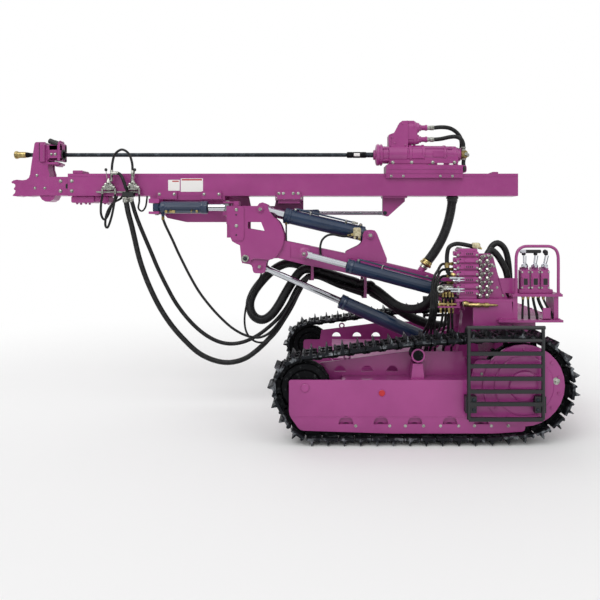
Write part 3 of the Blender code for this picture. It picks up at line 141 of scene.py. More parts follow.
# ---------------------------------------------------------------------------------------------------------------------
# Finishes
# ---------------------------------------------------------------------------------------------------------------------
@dataclass(frozen=True)
class Finish:
    """A surface finish: what all of them share."""

    name: str
    slot: str
    colour: str

    def start(self) -> tuple[bpy.types.Material, bpy.types.NodeTree, bpy.types.Node, bpy.types.NodeSocket]:
        """Makes an empty material with its shader.

        Returns:
            The material, its tree, the Principled shader and the Object coordinates.
        """
        material = bpy.data.materials.new(self.name)
        material.use_nodes = True
        tree = material.node_tree
        tree.nodes.clear()
        shader = add(tree, "ShaderNodeBsdfPrincipled")
        add(tree, "ShaderNodeOutputMaterial", {"Surface": shader.outputs["BSDF"]})
        coords = add(tree, "ShaderNodeTexCoord")
        return material, tree, shader, coords.outputs["Object"]

    def build(self) -> bpy.types.Material:
        """Makes the finish's material."""
        raise NotImplementedError


@dataclass(frozen=True)
class Enamel(Finish):
    """Two-pack enamel sprayed on steel: glossy, with orange peel, a slight change of shade and dull dusty patches."""

    shade: str = "#000000"
    gloss: float = 0.30
    coat: float = 0.25
    peel_mm: float = 5.0        # orange peel, drawn coarser than the real 1 mm so that it shows
    cloud_mm: float = 420.0     # drift of shade over a panel
    dust_mm: float = 70.0       # dull patches

    def build(self) -> bpy.types.Material:
        """Makes the enamel's material."""
        material, tree, shader, coords = self.start()
        cloud = add(tree, "ShaderNodeTexNoise", {"Vector": coords, "Scale": 1000 / self.cloud_mm, "Detail": 3.0})
        tone = add(tree, "ShaderNodeMapRange", {"Value": cloud.outputs["Fac"], "From Min": 0.35, "From Max": 0.75})
        mixed = add(tree, "ShaderNodeMix", {"Factor": tone.outputs["Result"], "A": linear(self.colour),
                                            "B": linear(self.shade)}, data_type="RGBA")
        dust = add(tree, "ShaderNodeTexNoise", {"Vector": coords, "Scale": 1000 / self.dust_mm, "Detail": 5.0,
                                                "Roughness": 0.65})
        dull = add(tree, "ShaderNodeMapRange", {"Value": dust.outputs["Fac"], "From Min": 0.45, "From Max": 0.72,
                                                "To Min": self.gloss, "To Max": self.gloss + 0.18})
        peel = add(tree, "ShaderNodeTexNoise", {"Vector": coords, "Scale": 1000 / self.peel_mm, "Detail": 1.0})
        bump = add(tree, "ShaderNodeBump", {"Height": peel.outputs["Fac"], "Strength": 0.12, "Distance": 0.0008})
        tree.links.new(mixed.outputs["Result"], shader.inputs["Base Color"])
        tree.links.new(dull.outputs["Result"], shader.inputs["Roughness"])
        tree.links.new(bump.outputs["Normal"], shader.inputs["Normal"])
        shader.inputs["Coat Weight"].default_value = self.coat
        shader.inputs["Coat Roughness"].default_value = 0.12
        return material


@dataclass(frozen=True)
class WornSteel(Finish):
    """Cast or forged steel, run bare: dark oxide with polished patches and a grainy surface."""

    bright: str = "#9A9C9E"
    share: float = 0.5          # how much of the surface is polished, from 0 to 1
    patch_mm: float = 34.0
    grain_mm: float = 3.0
    rough: float = 0.48

    def build(self) -> bpy.types.Material:
        """Makes the worn steel's material."""
        material, tree, shader, coords = self.start()
        patch = add(tree, "ShaderNodeTexNoise", {"Vector": coords, "Scale": 1000 / self.patch_mm, "Detail": 6.0,
                                                 "Roughness": 0.62})
        edge = 0.78 - 0.45 * self.share
        worn = add(tree, "ShaderNodeMapRange", {"Value": patch.outputs["Fac"], "From Min": edge - 0.06,
                                                "From Max": edge + 0.12})
        mixed = add(tree, "ShaderNodeMix", {"Factor": worn.outputs["Result"], "A": linear(self.colour),
                                            "B": linear(self.bright)}, data_type="RGBA")
        rough = add(tree, "ShaderNodeMapRange", {"Value": worn.outputs["Result"], "To Min": self.rough + 0.12,
                                                 "To Max": self.rough - 0.16})
        grain = add(tree, "ShaderNodeTexNoise", {"Vector": coords, "Scale": 1000 / self.grain_mm, "Detail": 3.0})
        bump = add(tree, "ShaderNodeBump", {"Height": grain.outputs["Fac"], "Strength": 0.35, "Distance": 0.0012})
        tree.links.new(mixed.outputs["Result"], shader.inputs["Base Color"])
        tree.links.new(rough.outputs["Result"], shader.inputs["Roughness"])
        tree.links.new(bump.outputs["Normal"], shader.inputs["Normal"])
        shader.inputs["Metallic"].default_value = 0.9
        return material


@dataclass(frozen=True)
class Plating(Finish):
    """Plated or machined metal: bright, with fine marks of turning or handling."""

    rough: float = 0.16
    mark_mm: float = 6.0
    metallic: float = 1.0
    tarnish: str = ""

    def build(self) -> bpy.types.Material:
        """Makes the plating's material."""
        material, tree, shader, coords = self.start()
        mark = add(tree, "ShaderNodeTexNoise", {"Vector": coords, "Scale": 1000 / self.mark_mm, "Detail": 4.0})
        rough = add(tree, "ShaderNodeMapRange", {"Value": mark.outputs["Fac"], "From Min": 0.3, "From Max": 0.8,
                                                 "To Min": self.rough, "To Max": self.rough + 0.12})
        if self.tarnish:
            film = add(tree, "ShaderNodeTexNoise", {"Vector": coords, "Scale": 45.0, "Detail": 5.0})
            grade = add(tree, "ShaderNodeMapRange", {"Value": film.outputs["Fac"], "From Min": 0.42, "From Max": 0.68})
            mixed = add(tree, "ShaderNodeMix", {"Factor": grade.outputs["Result"], "A": linear(self.colour),
                                                "B": linear(self.tarnish)}, data_type="RGBA")
            tree.links.new(mixed.outputs["Result"], shader.inputs["Base Color"])
        else:
            shader.inputs["Base Color"].default_value = linear(self.colour)
        bump = add(tree, "ShaderNodeBump", {"Height": mark.outputs["Fac"], "Strength": 0.05, "Distance": 0.0004})
        tree.links.new(rough.outputs["Result"], shader.inputs["Roughness"])
        tree.links.new(bump.outputs["Normal"], shader.inputs["Normal"])
        shader.inputs["Metallic"].default_value = self.metallic
        return material


@dataclass(frozen=True)
class HoseRubber(Finish):
    """Vulcanised rubber hose cover: near black, matt, with the faint weave of its wrapping and grey scuffs."""

    scuff: str = "#2A2B2D"
    wrap_mm: float = 4.0

    def build(self) -> bpy.types.Material:
        """Makes the rubber's material."""
        material, tree, shader, coords = self.start()
        scuff = add(tree, "ShaderNodeTexNoise", {"Vector": coords, "Scale": 26.0, "Detail": 6.0})
        grade = add(tree, "ShaderNodeMapRange", {"Value": scuff.outputs["Fac"], "From Min": 0.5, "From Max": 0.75})
        mixed = add(tree, "ShaderNodeMix", {"Factor": grade.outputs["Result"], "A": linear(self.colour),
                                            "B": linear(self.scuff)}, data_type="RGBA")
        weave = add(tree, "ShaderNodeTexVoronoi", {"Vector": coords, "Scale": 1000 / self.wrap_mm})
        bump = add(tree, "ShaderNodeBump", {"Height": weave.outputs["Distance"], "Strength": 0.2, "Distance": 0.0008})
        tree.links.new(mixed.outputs["Result"], shader.inputs["Base Color"])
        tree.links.new(bump.outputs["Normal"], shader.inputs["Normal"])
        shader.inputs["Roughness"].default_value = 0.42
        shader.inputs["Specular IOR Level"].default_value = 0.3
        return material


@dataclass(frozen=True)
class Moulding(Finish):
    """Moulded plastic or lacquered plate: one colour, with a slight grain."""

    rough: float = 0.35

    def build(self) -> bpy.types.Material:
        """Makes the moulding's material."""
        material, tree, shader, coords = self.start()
        grain = add(tree, "ShaderNodeTexNoise", {"Vector": coords, "Scale": 260.0, "Detail": 2.0})
        rough = add(tree, "ShaderNodeMapRange", {"Value": grain.outputs["Fac"], "To Min": self.rough - 0.06,
                                                 "To Max": self.rough + 0.1})
        bump = add(tree, "ShaderNodeBump", {"Height": grain.outputs["Fac"], "Strength": 0.08, "Distance": 0.0005})
        tree.links.new(rough.outputs["Result"], shader.inputs["Roughness"])
        tree.links.new(bump.outputs["Normal"], shader.inputs["Normal"])
        shader.inputs["Base Color"].default_value = linear(self.colour)
        return material


class Coat(Enum):
    """The rig's finishes, by what they are on."""

    # Magenta two-pack machine enamel, sprayed: broad soft highlights and a deeper shade where it runs thick
    PAINT = Enamel("magenta_enamel", "purple_paint", "#9A3A7E", shade="#8C2F72")
    # Navy enamel on honed cylinder tube: nearly black, with a cool highlight along each barrel
    NAVY = Enamel("navy_enamel", "cylinder_paint", "#102A48", shade="#0B1F38", gloss=0.28, coat=0.25)
    # Black powder coat on the step guards: even satin
    BLACK = Enamel("black_powder_coat", "black_paint", "#101417", shade="#0B0E10", gloss=0.34, coat=0.1, peel_mm=3.0)
    # Hard chrome, ground and polished on rods
    CHROME = Plating("hard_chrome_plate", "hard_chrome", "#C9CDD2", rough=0.10, mark_mm=9.0)
    # Zinc plate on fittings, valves and bolts: bright, slightly cloudy
    ZINC = Plating("zinc_plate", "plated_fittings", "#B9BAB4", rough=0.26, mark_mm=5.0, tarnish="#77786F")
    # Brass or yellow-passivated fittings
    BRASS = Plating("yellow_brass", "plated_fittings", "#B3A06C", rough=0.27, mark_mm=4.0, tarnish="#6E603A")
    # Forged track shoes: outer plates ground bright by use
    SHOE = WornSteel(
        "ground_shoe_steel", "track_steel", "#232529", bright="#8F9499", share=0.45, patch_mm=60.0, rough=0.42)
    # Cast chain links, rollers and idlers: dark oxide with little polish
    LINK = WornSteel(
        "oxidised_link_steel", "track_steel", "#17181A", bright="#4A4C4E", share=0.35, patch_mm=28.0, rough=0.52)
    # Drawn drill steel, blued by heat treatment
    ROD = WornSteel(
        "blued_drill_steel", "dark_steel", "#2E3439", bright="#454C52", share=0.5, patch_mm=50.0, grain_mm=5.0,
        rough=0.42)
    # Hose cover
    RUBBER = HoseRubber("hose_cover_rubber", "hose_rubber", "#0A0B0C")
    # Corrugated plastic conduit round the hose bundles
    CONDUIT = HoseRubber("corrugated_conduit", "hose_rubber", "#0C0D0F", scuff="#1D1F22")
    # Yellow-chromated block of the load-holding valve: pale beige
    BEIGE = Plating(
        "pale_chromate", "plated_fittings", "#CFC6A6", rough=0.34, mark_mm=5.0, metallic=0.55, tarnish="#A89C78")
    # White printed plates, left blank
    PLATE = Moulding("white_plate", "plated_fittings", "#E4E2E0", rough=0.4)
    # Red band of the blank plates and the round side reflector
    RED = Moulding("red_lacquer", "purple_paint", "#B01C24", rough=0.3)
    # Black rubber feet, grips and knobs; also the black sheets that are painted shade in the valve stack's recesses and
    # the beam's slot
    GRIP_AND_SHADE = Moulding("black_grip_rubber_and_shade", "black_paint", "#131517", rough=0.5)


MATERIALS: dict[str, bpy.types.Material] = {}


def coat(finish: Coat) -> bpy.types.Material:
    """Returns a finish's material, made once."""
    if finish.name not in MATERIALS:
        MATERIALS[finish.name] = finish.value.build()
    return MATERIALS[finish.name]


# ---------------------------------------------------------------------------------------------------------------------
# Meshes
# ---------------------------------------------------------------------------------------------------------------------
def smooth_path(points: Sequence[Place], step: float) -> list[Vector]:
    """Runs a smooth curve through points.

    Args:
        points: places that the curve passes.
        step: length between the points that come back.

    Returns:
        Points at equal steps along the curve, the two ends included.
    """
    known = [Vector(p) for p in points]
    padded = [known[0] * 2 - known[1]] + known + [known[-1] * 2 - known[-2]]
    fine: list[Vector] = []
    for a, b, c, d in zip(padded, padded[1:], padded[2:], padded[3:]):
        for k in range(12):
            t = k / 12
            fine.append(0.5 * ((2 * b) + (c - a) * t + (2 * a - 5 * b + 4 * c - d) * t ** 2
                               + (3 * b - a - 3 * c + d) * t ** 3))
    fine.append(known[-1])
    lengths = [0.0]
    for a, b in zip(fine, fine[1:]):
        lengths.append(lengths[-1] + (b - a).length)
    count = max(2, round(lengths[-1] / step))
    out, i = [], 0
    for k in range(count + 1):
        want = lengths[-1] * k / count
        while i < len(fine) - 2 and lengths[i + 1] < want:
            i += 1
        span = lengths[i + 1] - lengths[i]
        out.append(fine[i].lerp(fine[i + 1], (want - lengths[i]) / span if span else 0.0))
    return out


@dataclass
class Shape:
    """A mesh in the making: closed solids that share one object."""

    mesh: bmesh.types.BMesh = field(default_factory=bmesh.new)

    def rings(self, rows: Sequence[Sequence[Vector]], loop: bool = False) -> "Shape":
        """Skins rings of points, and closes the ends unless they meet.

        Args:
            rows: rings with the same number of points.
            loop: whether the last ring joins the first.

        Returns:
            The shape itself.
        """
        made = [[self.mesh.verts.new(p) for p in row] for row in rows]
        faces = []
        pairs = list(zip(made, made[1:])) + ([(made[-1], made[0])] if loop else [])
        for a, b in pairs:
            for i in range(len(a)):
                k = (i + 1) % len(a)
                faces.append(self.mesh.faces.new((a[i], a[k], b[k], b[i])))
        if not loop:
            faces += [self.mesh.faces.new(made[0]), self.mesh.faces.new(made[-1])]
        bmesh.ops.recalc_face_normals(self.mesh, faces=faces)
        return self

    def plate(self, outline: Sequence[Flat], y0: float, y1: float) -> "Shape":
        """Adds a plate with an outline of (x, z) points between two planes across the rig."""
        return self.rings([[Vector((x, y, z)) for x, z in outline] for y in (y0, y1)])

    def block(self, low: Place, high: Place, trim: float = 0.0) -> "Shape":
        """Adds a box, with its long edges cut off.

        Args:
            low: lowest corner.
            high: highest corner.
            trim: size of the chamfer round the box seen from the side.

        Returns:
            The shape itself.
        """
        (x0, y0, z0), (x1, y1, z1) = low, high
        c = min(trim, (x1 - x0) / 3, (z1 - z0) / 3, (y1 - y0) / 3)
        if not c:
            return self.plate([(x0, z0), (x1, z0), (x1, z1), (x0, z1)], y0, y1)

        def outline(d: float) -> list[Flat]:
            """Gives the box's outline with corners cut, drawn in by d."""
            return [(x0 + c, z0 + d), (x1 - c, z0 + d), (x1 - d, z0 + c), (x1 - d, z1 - c), (x1 - c, z1 - d),
                    (x0 + c, z1 - d), (x0 + d, z1 - c), (x0 + d, z0 + c)]

        rows = [(y0, c * 0.6), (y0 + c * 0.6, 0.0), (y1 - c * 0.6, 0.0), (y1, c * 0.6)]
        return self.rings([[Vector((x, y, z)) for x, z in outline(d)] for y, d in rows])

    def turned(self, p: Sequence[float], q: Sequence[float], profile: Sequence[Flat], sides: int = 20) -> "Shape":
        """Adds a solid of revolution.

        Args:
            p: start of the axis.
            q: a point that the axis runs towards.
            profile: distance from p and radius of each ring.
            sides: number of sides.

        Returns:
            The shape itself.
        """
        start = Vector(p)
        axis = (Vector(q) - start).normalized()
        side = axis.orthogonal().normalized()
        up = axis.cross(side)
        rows = []
        for s, r in profile:
            rows.append([
                start + axis * s + (side * math.cos(math.tau * i / sides) + up * math.sin(math.tau * i / sides)) * r
                for i in range(sides)])
        return self.rings(rows)

    def bar(self, p: Sequence[float], q: Sequence[float], radius: float, sides: int = 14, trim: float = 0.0) -> "Shape":
        """Adds a round bar from p to q, with its ends chamfered by trim."""
        length = (Vector(q) - Vector(p)).length
        if not trim:
            return self.turned(p, q, [(0, radius), (length, radius)], sides)
        return self.turned(
            p, q, [(0, radius - trim), (trim, radius), (length - trim, radius), (length, radius - trim)], sides)

    def hose(self, points: Sequence[Sequence[float]], radius: float, sides: int = 10, ribs: float = 0.0,
             depth: float = 0.0) -> "Shape":
        """Adds a tube along points, plain or with ribs round it.

        Args:
            points: the tube's middle line, close together, and with ribs four to each.
            radius: outer radius.
            sides: number of sides.
            ribs: length from rib to rib, or 0 for a plain tube.
            depth: depth of the grooves between the ribs.

        Returns:
            The shape itself.
        """
        path = [Vector(p) for p in points]
        normal = (path[1] - path[0]).orthogonal().normalized()
        rows = []
        for i, here in enumerate(path):
            along = (path[min(i + 1, len(path) - 1)] - path[max(i - 1, 0)]).normalized()
            normal = (normal - along * normal.dot(along)).normalized()
            other = along.cross(normal)
            r = radius - (depth if ribs and i % 4 in (0, 3) else 0.0)
            rows.append([here + (normal * math.cos(math.tau * k / sides) + other * math.sin(math.tau * k / sides)) * r
                         for k in range(sides)])
        return self.rings(rows)

    def hexagon(self, at: Sequence[float], axis: Sequence[float], size: float, height: float) -> "Shape":
        """Adds a hexagon head with a chamfered top and a washer under it.

        Args:
            at: middle of the seat.
            axis: direction that the head stands out in.
            size: distance across its corners.
            height: height over the seat.

        Returns:
            The shape itself.
        """
        p, n = Vector(at), Vector(axis).normalized()
        self.turned(p, p + n, [(0, size * 0.66), (height * 0.2, size * 0.66)], 12)
        return self.turned(
            p, p + n, [(height * 0.15, size * 0.5), (height * 0.85, size * 0.5), (height, size * 0.4)], 6)

    def ring(self, centre: Sequence[float], axis: Sequence[float], radius: float, thick: float, sides: int = 24,
             round_sides: int = 8) -> "Shape":
        """Adds a round ring.

        Args:
            centre: the ring's middle.
            axis: the line that it lies round.
            radius: radius of its middle line.
            thick: radius of its section.
            sides: steps round the ring.
            round_sides: sides of its section.

        Returns:
            The shape itself.
        """
        c, n = Vector(centre), Vector(axis).normalized()
        a = n.orthogonal().normalized()
        b = n.cross(a)
        rows = []
        for i in range(sides):
            out = a * math.cos(math.tau * i / sides) + b * math.sin(math.tau * i / sides)
            rows.append([c + out * (radius + thick * math.cos(math.tau * k / round_sides))
                         + n * thick * math.sin(math.tau * k / round_sides) for k in range(round_sides)])
        return self.rings(rows, loop=True)

    def weld(self, points: Sequence[Sequence[float]], radius: float = 0.006) -> "Shape":
        """Adds a weld bead along points: a thin tube with the ripples of its passes."""
        return self.hose(smooth_path([tuple(p) for p in points], 0.004), radius, 6, ribs=0.016, depth=radius * 0.25)

    def finish(self, name: str, body: str, finish: Coat, angle: float = 35.0) -> bpy.types.Object:
        """Makes the object, gives it its finish and lets it ride.

        Args:
            name: the piece's name.
            body: the body that it moves with.
            finish: its coat.
            angle: the angle in degrees from which an edge is drawn sharp.

        Returns:
            The piece.
        """
        data = bpy.data.meshes.new(name)
        self.mesh.to_mesh(data)
        self.mesh.free()
        return settle(bpy.data.objects.new(name, data), body, finish, angle)


def settle(piece: bpy.types.Object, body: str, finish: Coat, angle: float = 35.0, other: str = "",
           turn: tuple[Place, Place] | None = None) -> bpy.types.Object:
    """Links a finished mesh object, dresses it and lets it ride.

    Args:
        piece: object at the origin with its place in its mesh.
        body: the body that it moves with.
        finish: its coat.
        angle: the angle in degrees from which an edge is drawn sharp.
        other: a second body that its far end moves with, or none.
        turn: for a piece on two bodies, where it leaves the first and where it joins the other.

    Returns:
        The piece.
    """
    if not piece.users_collection:
        bpy.context.scene.collection.objects.link(piece)
    piece.data.materials.clear()
    piece.data.materials.append(coat(finish))
    piece.data.shade_smooth()
    piece.data.set_sharp_from_angle(angle=math.radians(angle))
    if other and turn:
        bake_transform(piece, body, other, start=turn[0], end=turn[1])
    else:
        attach(piece, body)
    LOG.info("%s rides on %s", piece.name, " and ".join(b for b in (body, other) if b))
    return piece


# ---------------------------------------------------------------------------------------------------------------------
# Repeats by Geometry Nodes
# ---------------------------------------------------------------------------------------------------------------------
@dataclass
class Repeat:
    """Copies of one unit at many places, made by a node tree and then turned into a plain mesh."""

    name: str
    unit: bpy.types.Object
    places: Sequence[tuple[Sequence[float], Matrix]]

    def tree(self) -> bpy.types.NodeTree:
        """Builds the node tree: one instance of the unit for each point, turned by the point's attribute."""
        tree = bpy.data.node_groups.new(self.name + "_repeat", "GeometryNodeTree")
        face = tree.interface
        face.new_socket("Geometry", in_out="INPUT", socket_type="NodeSocketGeometry")
        face.new_socket("Unit", in_out="INPUT", socket_type="NodeSocketObject")
        face.new_socket("Size", in_out="INPUT", socket_type="NodeSocketFloat")
        face.new_socket("Material", in_out="INPUT", socket_type="NodeSocketMaterial")
        face.new_socket("Geometry", in_out="OUTPUT", socket_type="NodeSocketGeometry")
        source = add(tree, "NodeGroupInput")
        unit = add(tree, "GeometryNodeObjectInfo", {"Object": source.outputs["Unit"]}, transform_space="ORIGINAL")
        turn = add(tree, "GeometryNodeInputNamedAttribute", {"Name": "turn"}, data_type="FLOAT_VECTOR")
        points = add(tree, "GeometryNodeMeshToPoints", {"Mesh": source.outputs["Geometry"]})
        laid = add(tree, "GeometryNodeInstanceOnPoints", {
            "Points": points.outputs["Points"], "Instance": unit.outputs["Geometry"],
            "Rotation": turn.outputs["Attribute"], "Scale": source.outputs["Size"]})
        real = add(tree, "GeometryNodeRealizeInstances", {"Geometry": laid.outputs["Instances"]})
        dressed = add(tree, "GeometryNodeSetMaterial", {"Geometry": real.outputs["Geometry"],
                                                        "Material": source.outputs["Material"]})
        add(tree, "NodeGroupOutput", {"Geometry": dressed.outputs["Geometry"]})
        return tree

    def build(self, body: str, finish: Coat, size: float = 1.0) -> bpy.types.Object:
        """Runs the tree and keeps its result as a plain mesh.

        Args:
            body: the body that the copies move with.
            finish: their coat.
            size: scale of each copy.

        Returns:
            The piece.
        """
        data = bpy.data.meshes.new(self.name + "_places")
        data.from_pydata([tuple(at) for at, _ in self.places], [], [])
        turns = data.attributes.new("turn", "FLOAT_VECTOR", "POINT")
        for i, (_, turn) in enumerate(self.places):
            turns.data[i].vector = turn.to_3x3().to_euler("XYZ")
        holder = bpy.data.objects.new(self.name + "_places", data)
        bpy.context.scene.collection.objects.link(holder)
        tree = self.tree()
        live = holder.modifiers.new("repeat", "NODES")
        live.node_group = tree
        ids = {s.name: s.identifier for s in tree.interface.items_tree if s.in_out == "INPUT"}
        live[ids["Unit"]] = self.unit
        live[ids["Size"]] = size
        live[ids["Material"]] = coat(finish)
        graph = bpy.context.evaluated_depsgraph_get()
        mesh = bpy.data.meshes.new_from_object(holder.evaluated_get(graph))
        mesh.name = self.name
        for attribute in [a for a in mesh.attributes if a.name == "turn"]:
            mesh.attributes.remove(attribute)
        holder.modifiers.clear()
        bpy.data.objects.remove(holder)
        bpy.data.objects.remove(self.unit)
        return settle(bpy.data.objects.new(self.name, mesh), body, finish)


def unit_object(shape: Shape, name: str) -> bpy.types.Object:
    """Makes an unlinked-looking unit for Repeat: an object at the origin that is removed after use."""
    data = bpy.data.meshes.new(name)
    shape.mesh.to_mesh(data)
    shape.mesh.free()
    unit = bpy.data.objects.new(name, data)
    bpy.context.scene.collection.objects.link(unit)
    return unit


def facing(axis: Sequence[float], along: Sequence[float] = (1.0, 0.0, 0.0)) -> Matrix:
    """Gives the turn that points a unit's Z along axis and its X near along."""
    z = Vector(axis).normalized()
    x = Vector(along)
    x = (x - z * x.dot(z))
    x = x.normalized() if x.length > 1e-6 else z.orthogonal().normalized()
    y = z.cross(x)
    return Matrix((x, y, z)).transposed()


def bolts(name: str, body: str, places: Iterable[tuple[Sequence[float], Sequence[float]]], size: float, height: float,
          finish: Coat = Coat.ZINC) -> bpy.types.Object:
    """Lays equal hexagon bolts.

    Args:
        name: the piece's name.
        body: the body that they move with.
        places: seat and direction of each bolt.
        size: distance across the corners.
        height: height of a head.
        finish: their coat.

    Returns:
        The piece.
    """
    unit = unit_object(Shape().hexagon((0, 0, 0), (0, 0, 1), size, height), name + "_unit")
    return Repeat(name, unit, [(at, facing(axis)) for at, axis in places]).build(body, finish)


# ---------------------------------------------------------------------------------------------------------------------
# Hoses
# ---------------------------------------------------------------------------------------------------------------------
@dataclass(frozen=True)
class Route:
    """A hose's line: outer radius, the ways in which it leaves its two seats, and the places that it passes."""

    radius: float
    first: Place
    last: Place
    places: tuple[Place, ...]

    def line(self, step: float) -> list[Vector]:
        """Runs the hose's smooth middle line, square to its seats at both ends.

        Args:
            step: length between its points.

        Returns:
            The points of the line.
        """
        p, q = Vector(self.places[0]), Vector(self.places[-1])
        a, b = Vector(self.first).normalized(), Vector(self.last).normalized()
        lead = self.radius * 1.2
        points = [p + a * 0.0003, p + a * lead, *(Vector(v) for v in self.places[1:-1]), q + b * lead, q + b * 0.0003]
        return smooth_path([tuple(v) for v in points], step)


ROUTES: dict[str, Route] = {
    "front_hose_a": Route(0.027, (0, 0, -1), (-1, 0, 0), (
        (-1.458, 0.055, 2.1055), (-1.452, 0.055, 2.047), (-1.434, 0.058, 1.946), (-1.403, 0.062, 1.825),
        (-1.37, 0.068, 1.674), (-1.332, 0.075, 1.503), (-1.279, 0.085, 1.33), (-1.211, 0.095, 1.158),
        (-1.123, 0.105, 0.979), (-1.014, 0.115, 0.81), (-0.883, 0.122, 0.657), (-0.738, 0.13, 0.523),
        (-0.578, 0.135, 0.446), (-0.423, 0.135, 0.426), (-0.27, 0.135, 0.466), (-0.138, 0.135, 0.558),
        (-0.02, 0.135, 0.675), (0.087, 0.135, 0.812), (0.188, 0.135, 0.97), (0.262, 0.135, 1.118),
        (0.32, 0.135, 1.225), (0.358, 0.135, 1.282), (0.403, 0.135, 1.303))),
    "front_hose_b": Route(0.02, (0, 0, -1), (-1, 0, 0), (
        (-1.402, 0.055, 2.1055), (-1.393, 0.055, 2.047), (-1.365, 0.058, 1.946), (-1.322, 0.065, 1.825),
        (-1.266, 0.075, 1.684), (-1.21, 0.09, 1.542), (-1.153, 0.105, 1.395), (-1.071, 0.12, 1.216),
        (-0.973, 0.135, 1.031), (-0.844, 0.15, 0.856), (-0.704, 0.165, 0.721), (-0.563, 0.18, 0.636),
        (-0.431, 0.19, 0.606), (-0.299, 0.2, 0.622), (-0.166, 0.205, 0.68), (-0.053, 0.205, 0.76),
        (0.061, 0.205, 0.865), (0.164, 0.205, 1.002), (0.232, 0.208, 1.138), (0.292, 0.212, 1.232),
        (0.345, 0.215, 1.284), (0.403, 0.215, 1.3))),
    "front_hose_c": Route(0.013, (0, 0, -1), (-1, 0, 0), (
        (-1.07, 0.0, 1.9097), (-1.066, 0.0, 1.875), (-1.042, 0.0, 1.815), (-1.009, 0.003, 1.745),
        (-0.972, 0.008, 1.665), (-0.929, 0.015, 1.565), (-0.875, 0.022, 1.45), (-0.808, 0.032, 1.314),
        (-0.72, 0.042, 1.158), (-0.612, 0.055, 1.011), (-0.503, 0.065, 0.889), (-0.384, 0.078, 0.781),
        (-0.253, 0.085, 0.709), (-0.122, 0.088, 0.688), (-0.011, 0.088, 0.739), (0.09, 0.088, 0.855),
        (0.181, 0.088, 1.002), (0.262, 0.088, 1.135), (0.322, 0.09, 1.235), (0.358, 0.092, 1.282),
        (0.403, 0.092, 1.3))),
    "front_hose_d": Route(0.01, (0, 0, -1), (-1, 0, 0), (
        (-0.1, 0.088, 1.35), (-0.106, 0.088, 1.305), (-0.14, 0.085, 1.239), (-0.19, 0.078, 1.149),
        (-0.233, 0.07, 1.059), (-0.257, 0.062, 0.959), (-0.264, 0.058, 0.849), (-0.245, 0.057, 0.749),
        (-0.189, 0.057, 0.673), (-0.109, 0.057, 0.643), (-0.018, 0.057, 0.668), (0.067, 0.057, 0.754),
        (0.158, 0.057, 0.895), (0.243, 0.057, 1.051), (0.316, 0.058, 1.19), (0.352, 0.06, 1.262),
        (0.403, 0.062, 1.292))),
    "hose_loop": Route(0.047, (-1, 0, 0), (-1, 0, 0), (
        (0.403, 0.24, 1.372), (0.315, 0.24, 1.399), (0.244, 0.24, 1.423), (0.162, 0.24, 1.431),
        (0.074, 0.238, 1.402), (-0.019, 0.236, 1.337), (-0.107, 0.234, 1.247), (-0.184, 0.232, 1.144),
        (-0.228, 0.23, 1.036), (-0.22, 0.225, 0.938), (-0.169, 0.218, 0.869), (-0.089, 0.208, 0.852),
        (-0.006, 0.197, 0.904), (0.067, 0.185, 1.0), (0.132, 0.17, 1.114), (0.197, 0.156, 1.223),
        (0.258, 0.144, 1.312), (0.305, 0.139, 1.36), (0.35, 0.138, 1.38), (0.403, 0.138, 1.382))),
    "boom_hose_near": Route(0.05, (1, 0, 0), (-1, 0, 0), (
        (0.431, 0.147, 1.366), (0.5, 0.15, 1.35), (0.596, 0.15, 1.324), (0.749, 0.15, 1.275), (0.851, 0.15, 1.244),
        (0.937, 0.15, 1.226))),
    "boom_hose_far": Route(0.05, (1, 0, 0), (-1, 0, 0), (
        (0.431, 0.24, 1.36), (0.5, 0.24, 1.342), (0.597, 0.24, 1.311), (0.752, 0.24, 1.252), (0.856, 0.24, 1.2),
        (0.937, 0.24, 1.17))),
    "rear_hose_near": Route(0.042, (1, 0, 0), (-0.778, 0.349, -0.519), (
        (0.965, 0.15, 1.216), (1.024, 0.142, 1.196), (1.084, 0.12, 1.159), (1.141, 0.085, 1.114),
        (1.201, 0.03, 1.066), (1.258, -0.04, 1.03), (1.316, -0.13, 1.014), (1.372, -0.22, 1.016),
        (1.425, -0.31, 1.034), (1.472, -0.4, 1.072), (1.506, -0.475, 1.12), (1.529, -0.54, 1.175),
        (1.543, -0.605, 1.213), (1.577, -0.6205, 1.2355))),
    "rear_hose_far": Route(0.05, (1, 0, 0), (-1, 0, 0), (
        (0.965, 0.24, 1.158), (1.04, 0.24, 1.128), (1.135, 0.24, 1.075), (1.218, 0.24, 1.017),
        (1.301, 0.24, 0.958), (1.384, 0.238, 0.903), (1.476, 0.235, 0.854), (1.58, 0.235, 0.815),
        (1.695, 0.24, 0.789), (1.821, 0.25, 0.773), (1.958, 0.26, 0.765), (2.12, 0.27, 0.763))),
    "feed_hose": Route(0.048, (0, 0, -1), (0.58, 0, 0.815), (
        (1.855, 0.2, 2.12), (1.852, 0.2, 2.063), (1.841, 0.196, 1.986), (1.821, 0.188, 1.898),
        (1.792, 0.172, 1.806), (1.753, 0.15, 1.714), (1.704, 0.122, 1.628), (1.652, 0.09, 1.552),
        (1.602, 0.062, 1.49), (1.573, 0.047, 1.458), (1.5467, 0.045, 1.4207))),
}


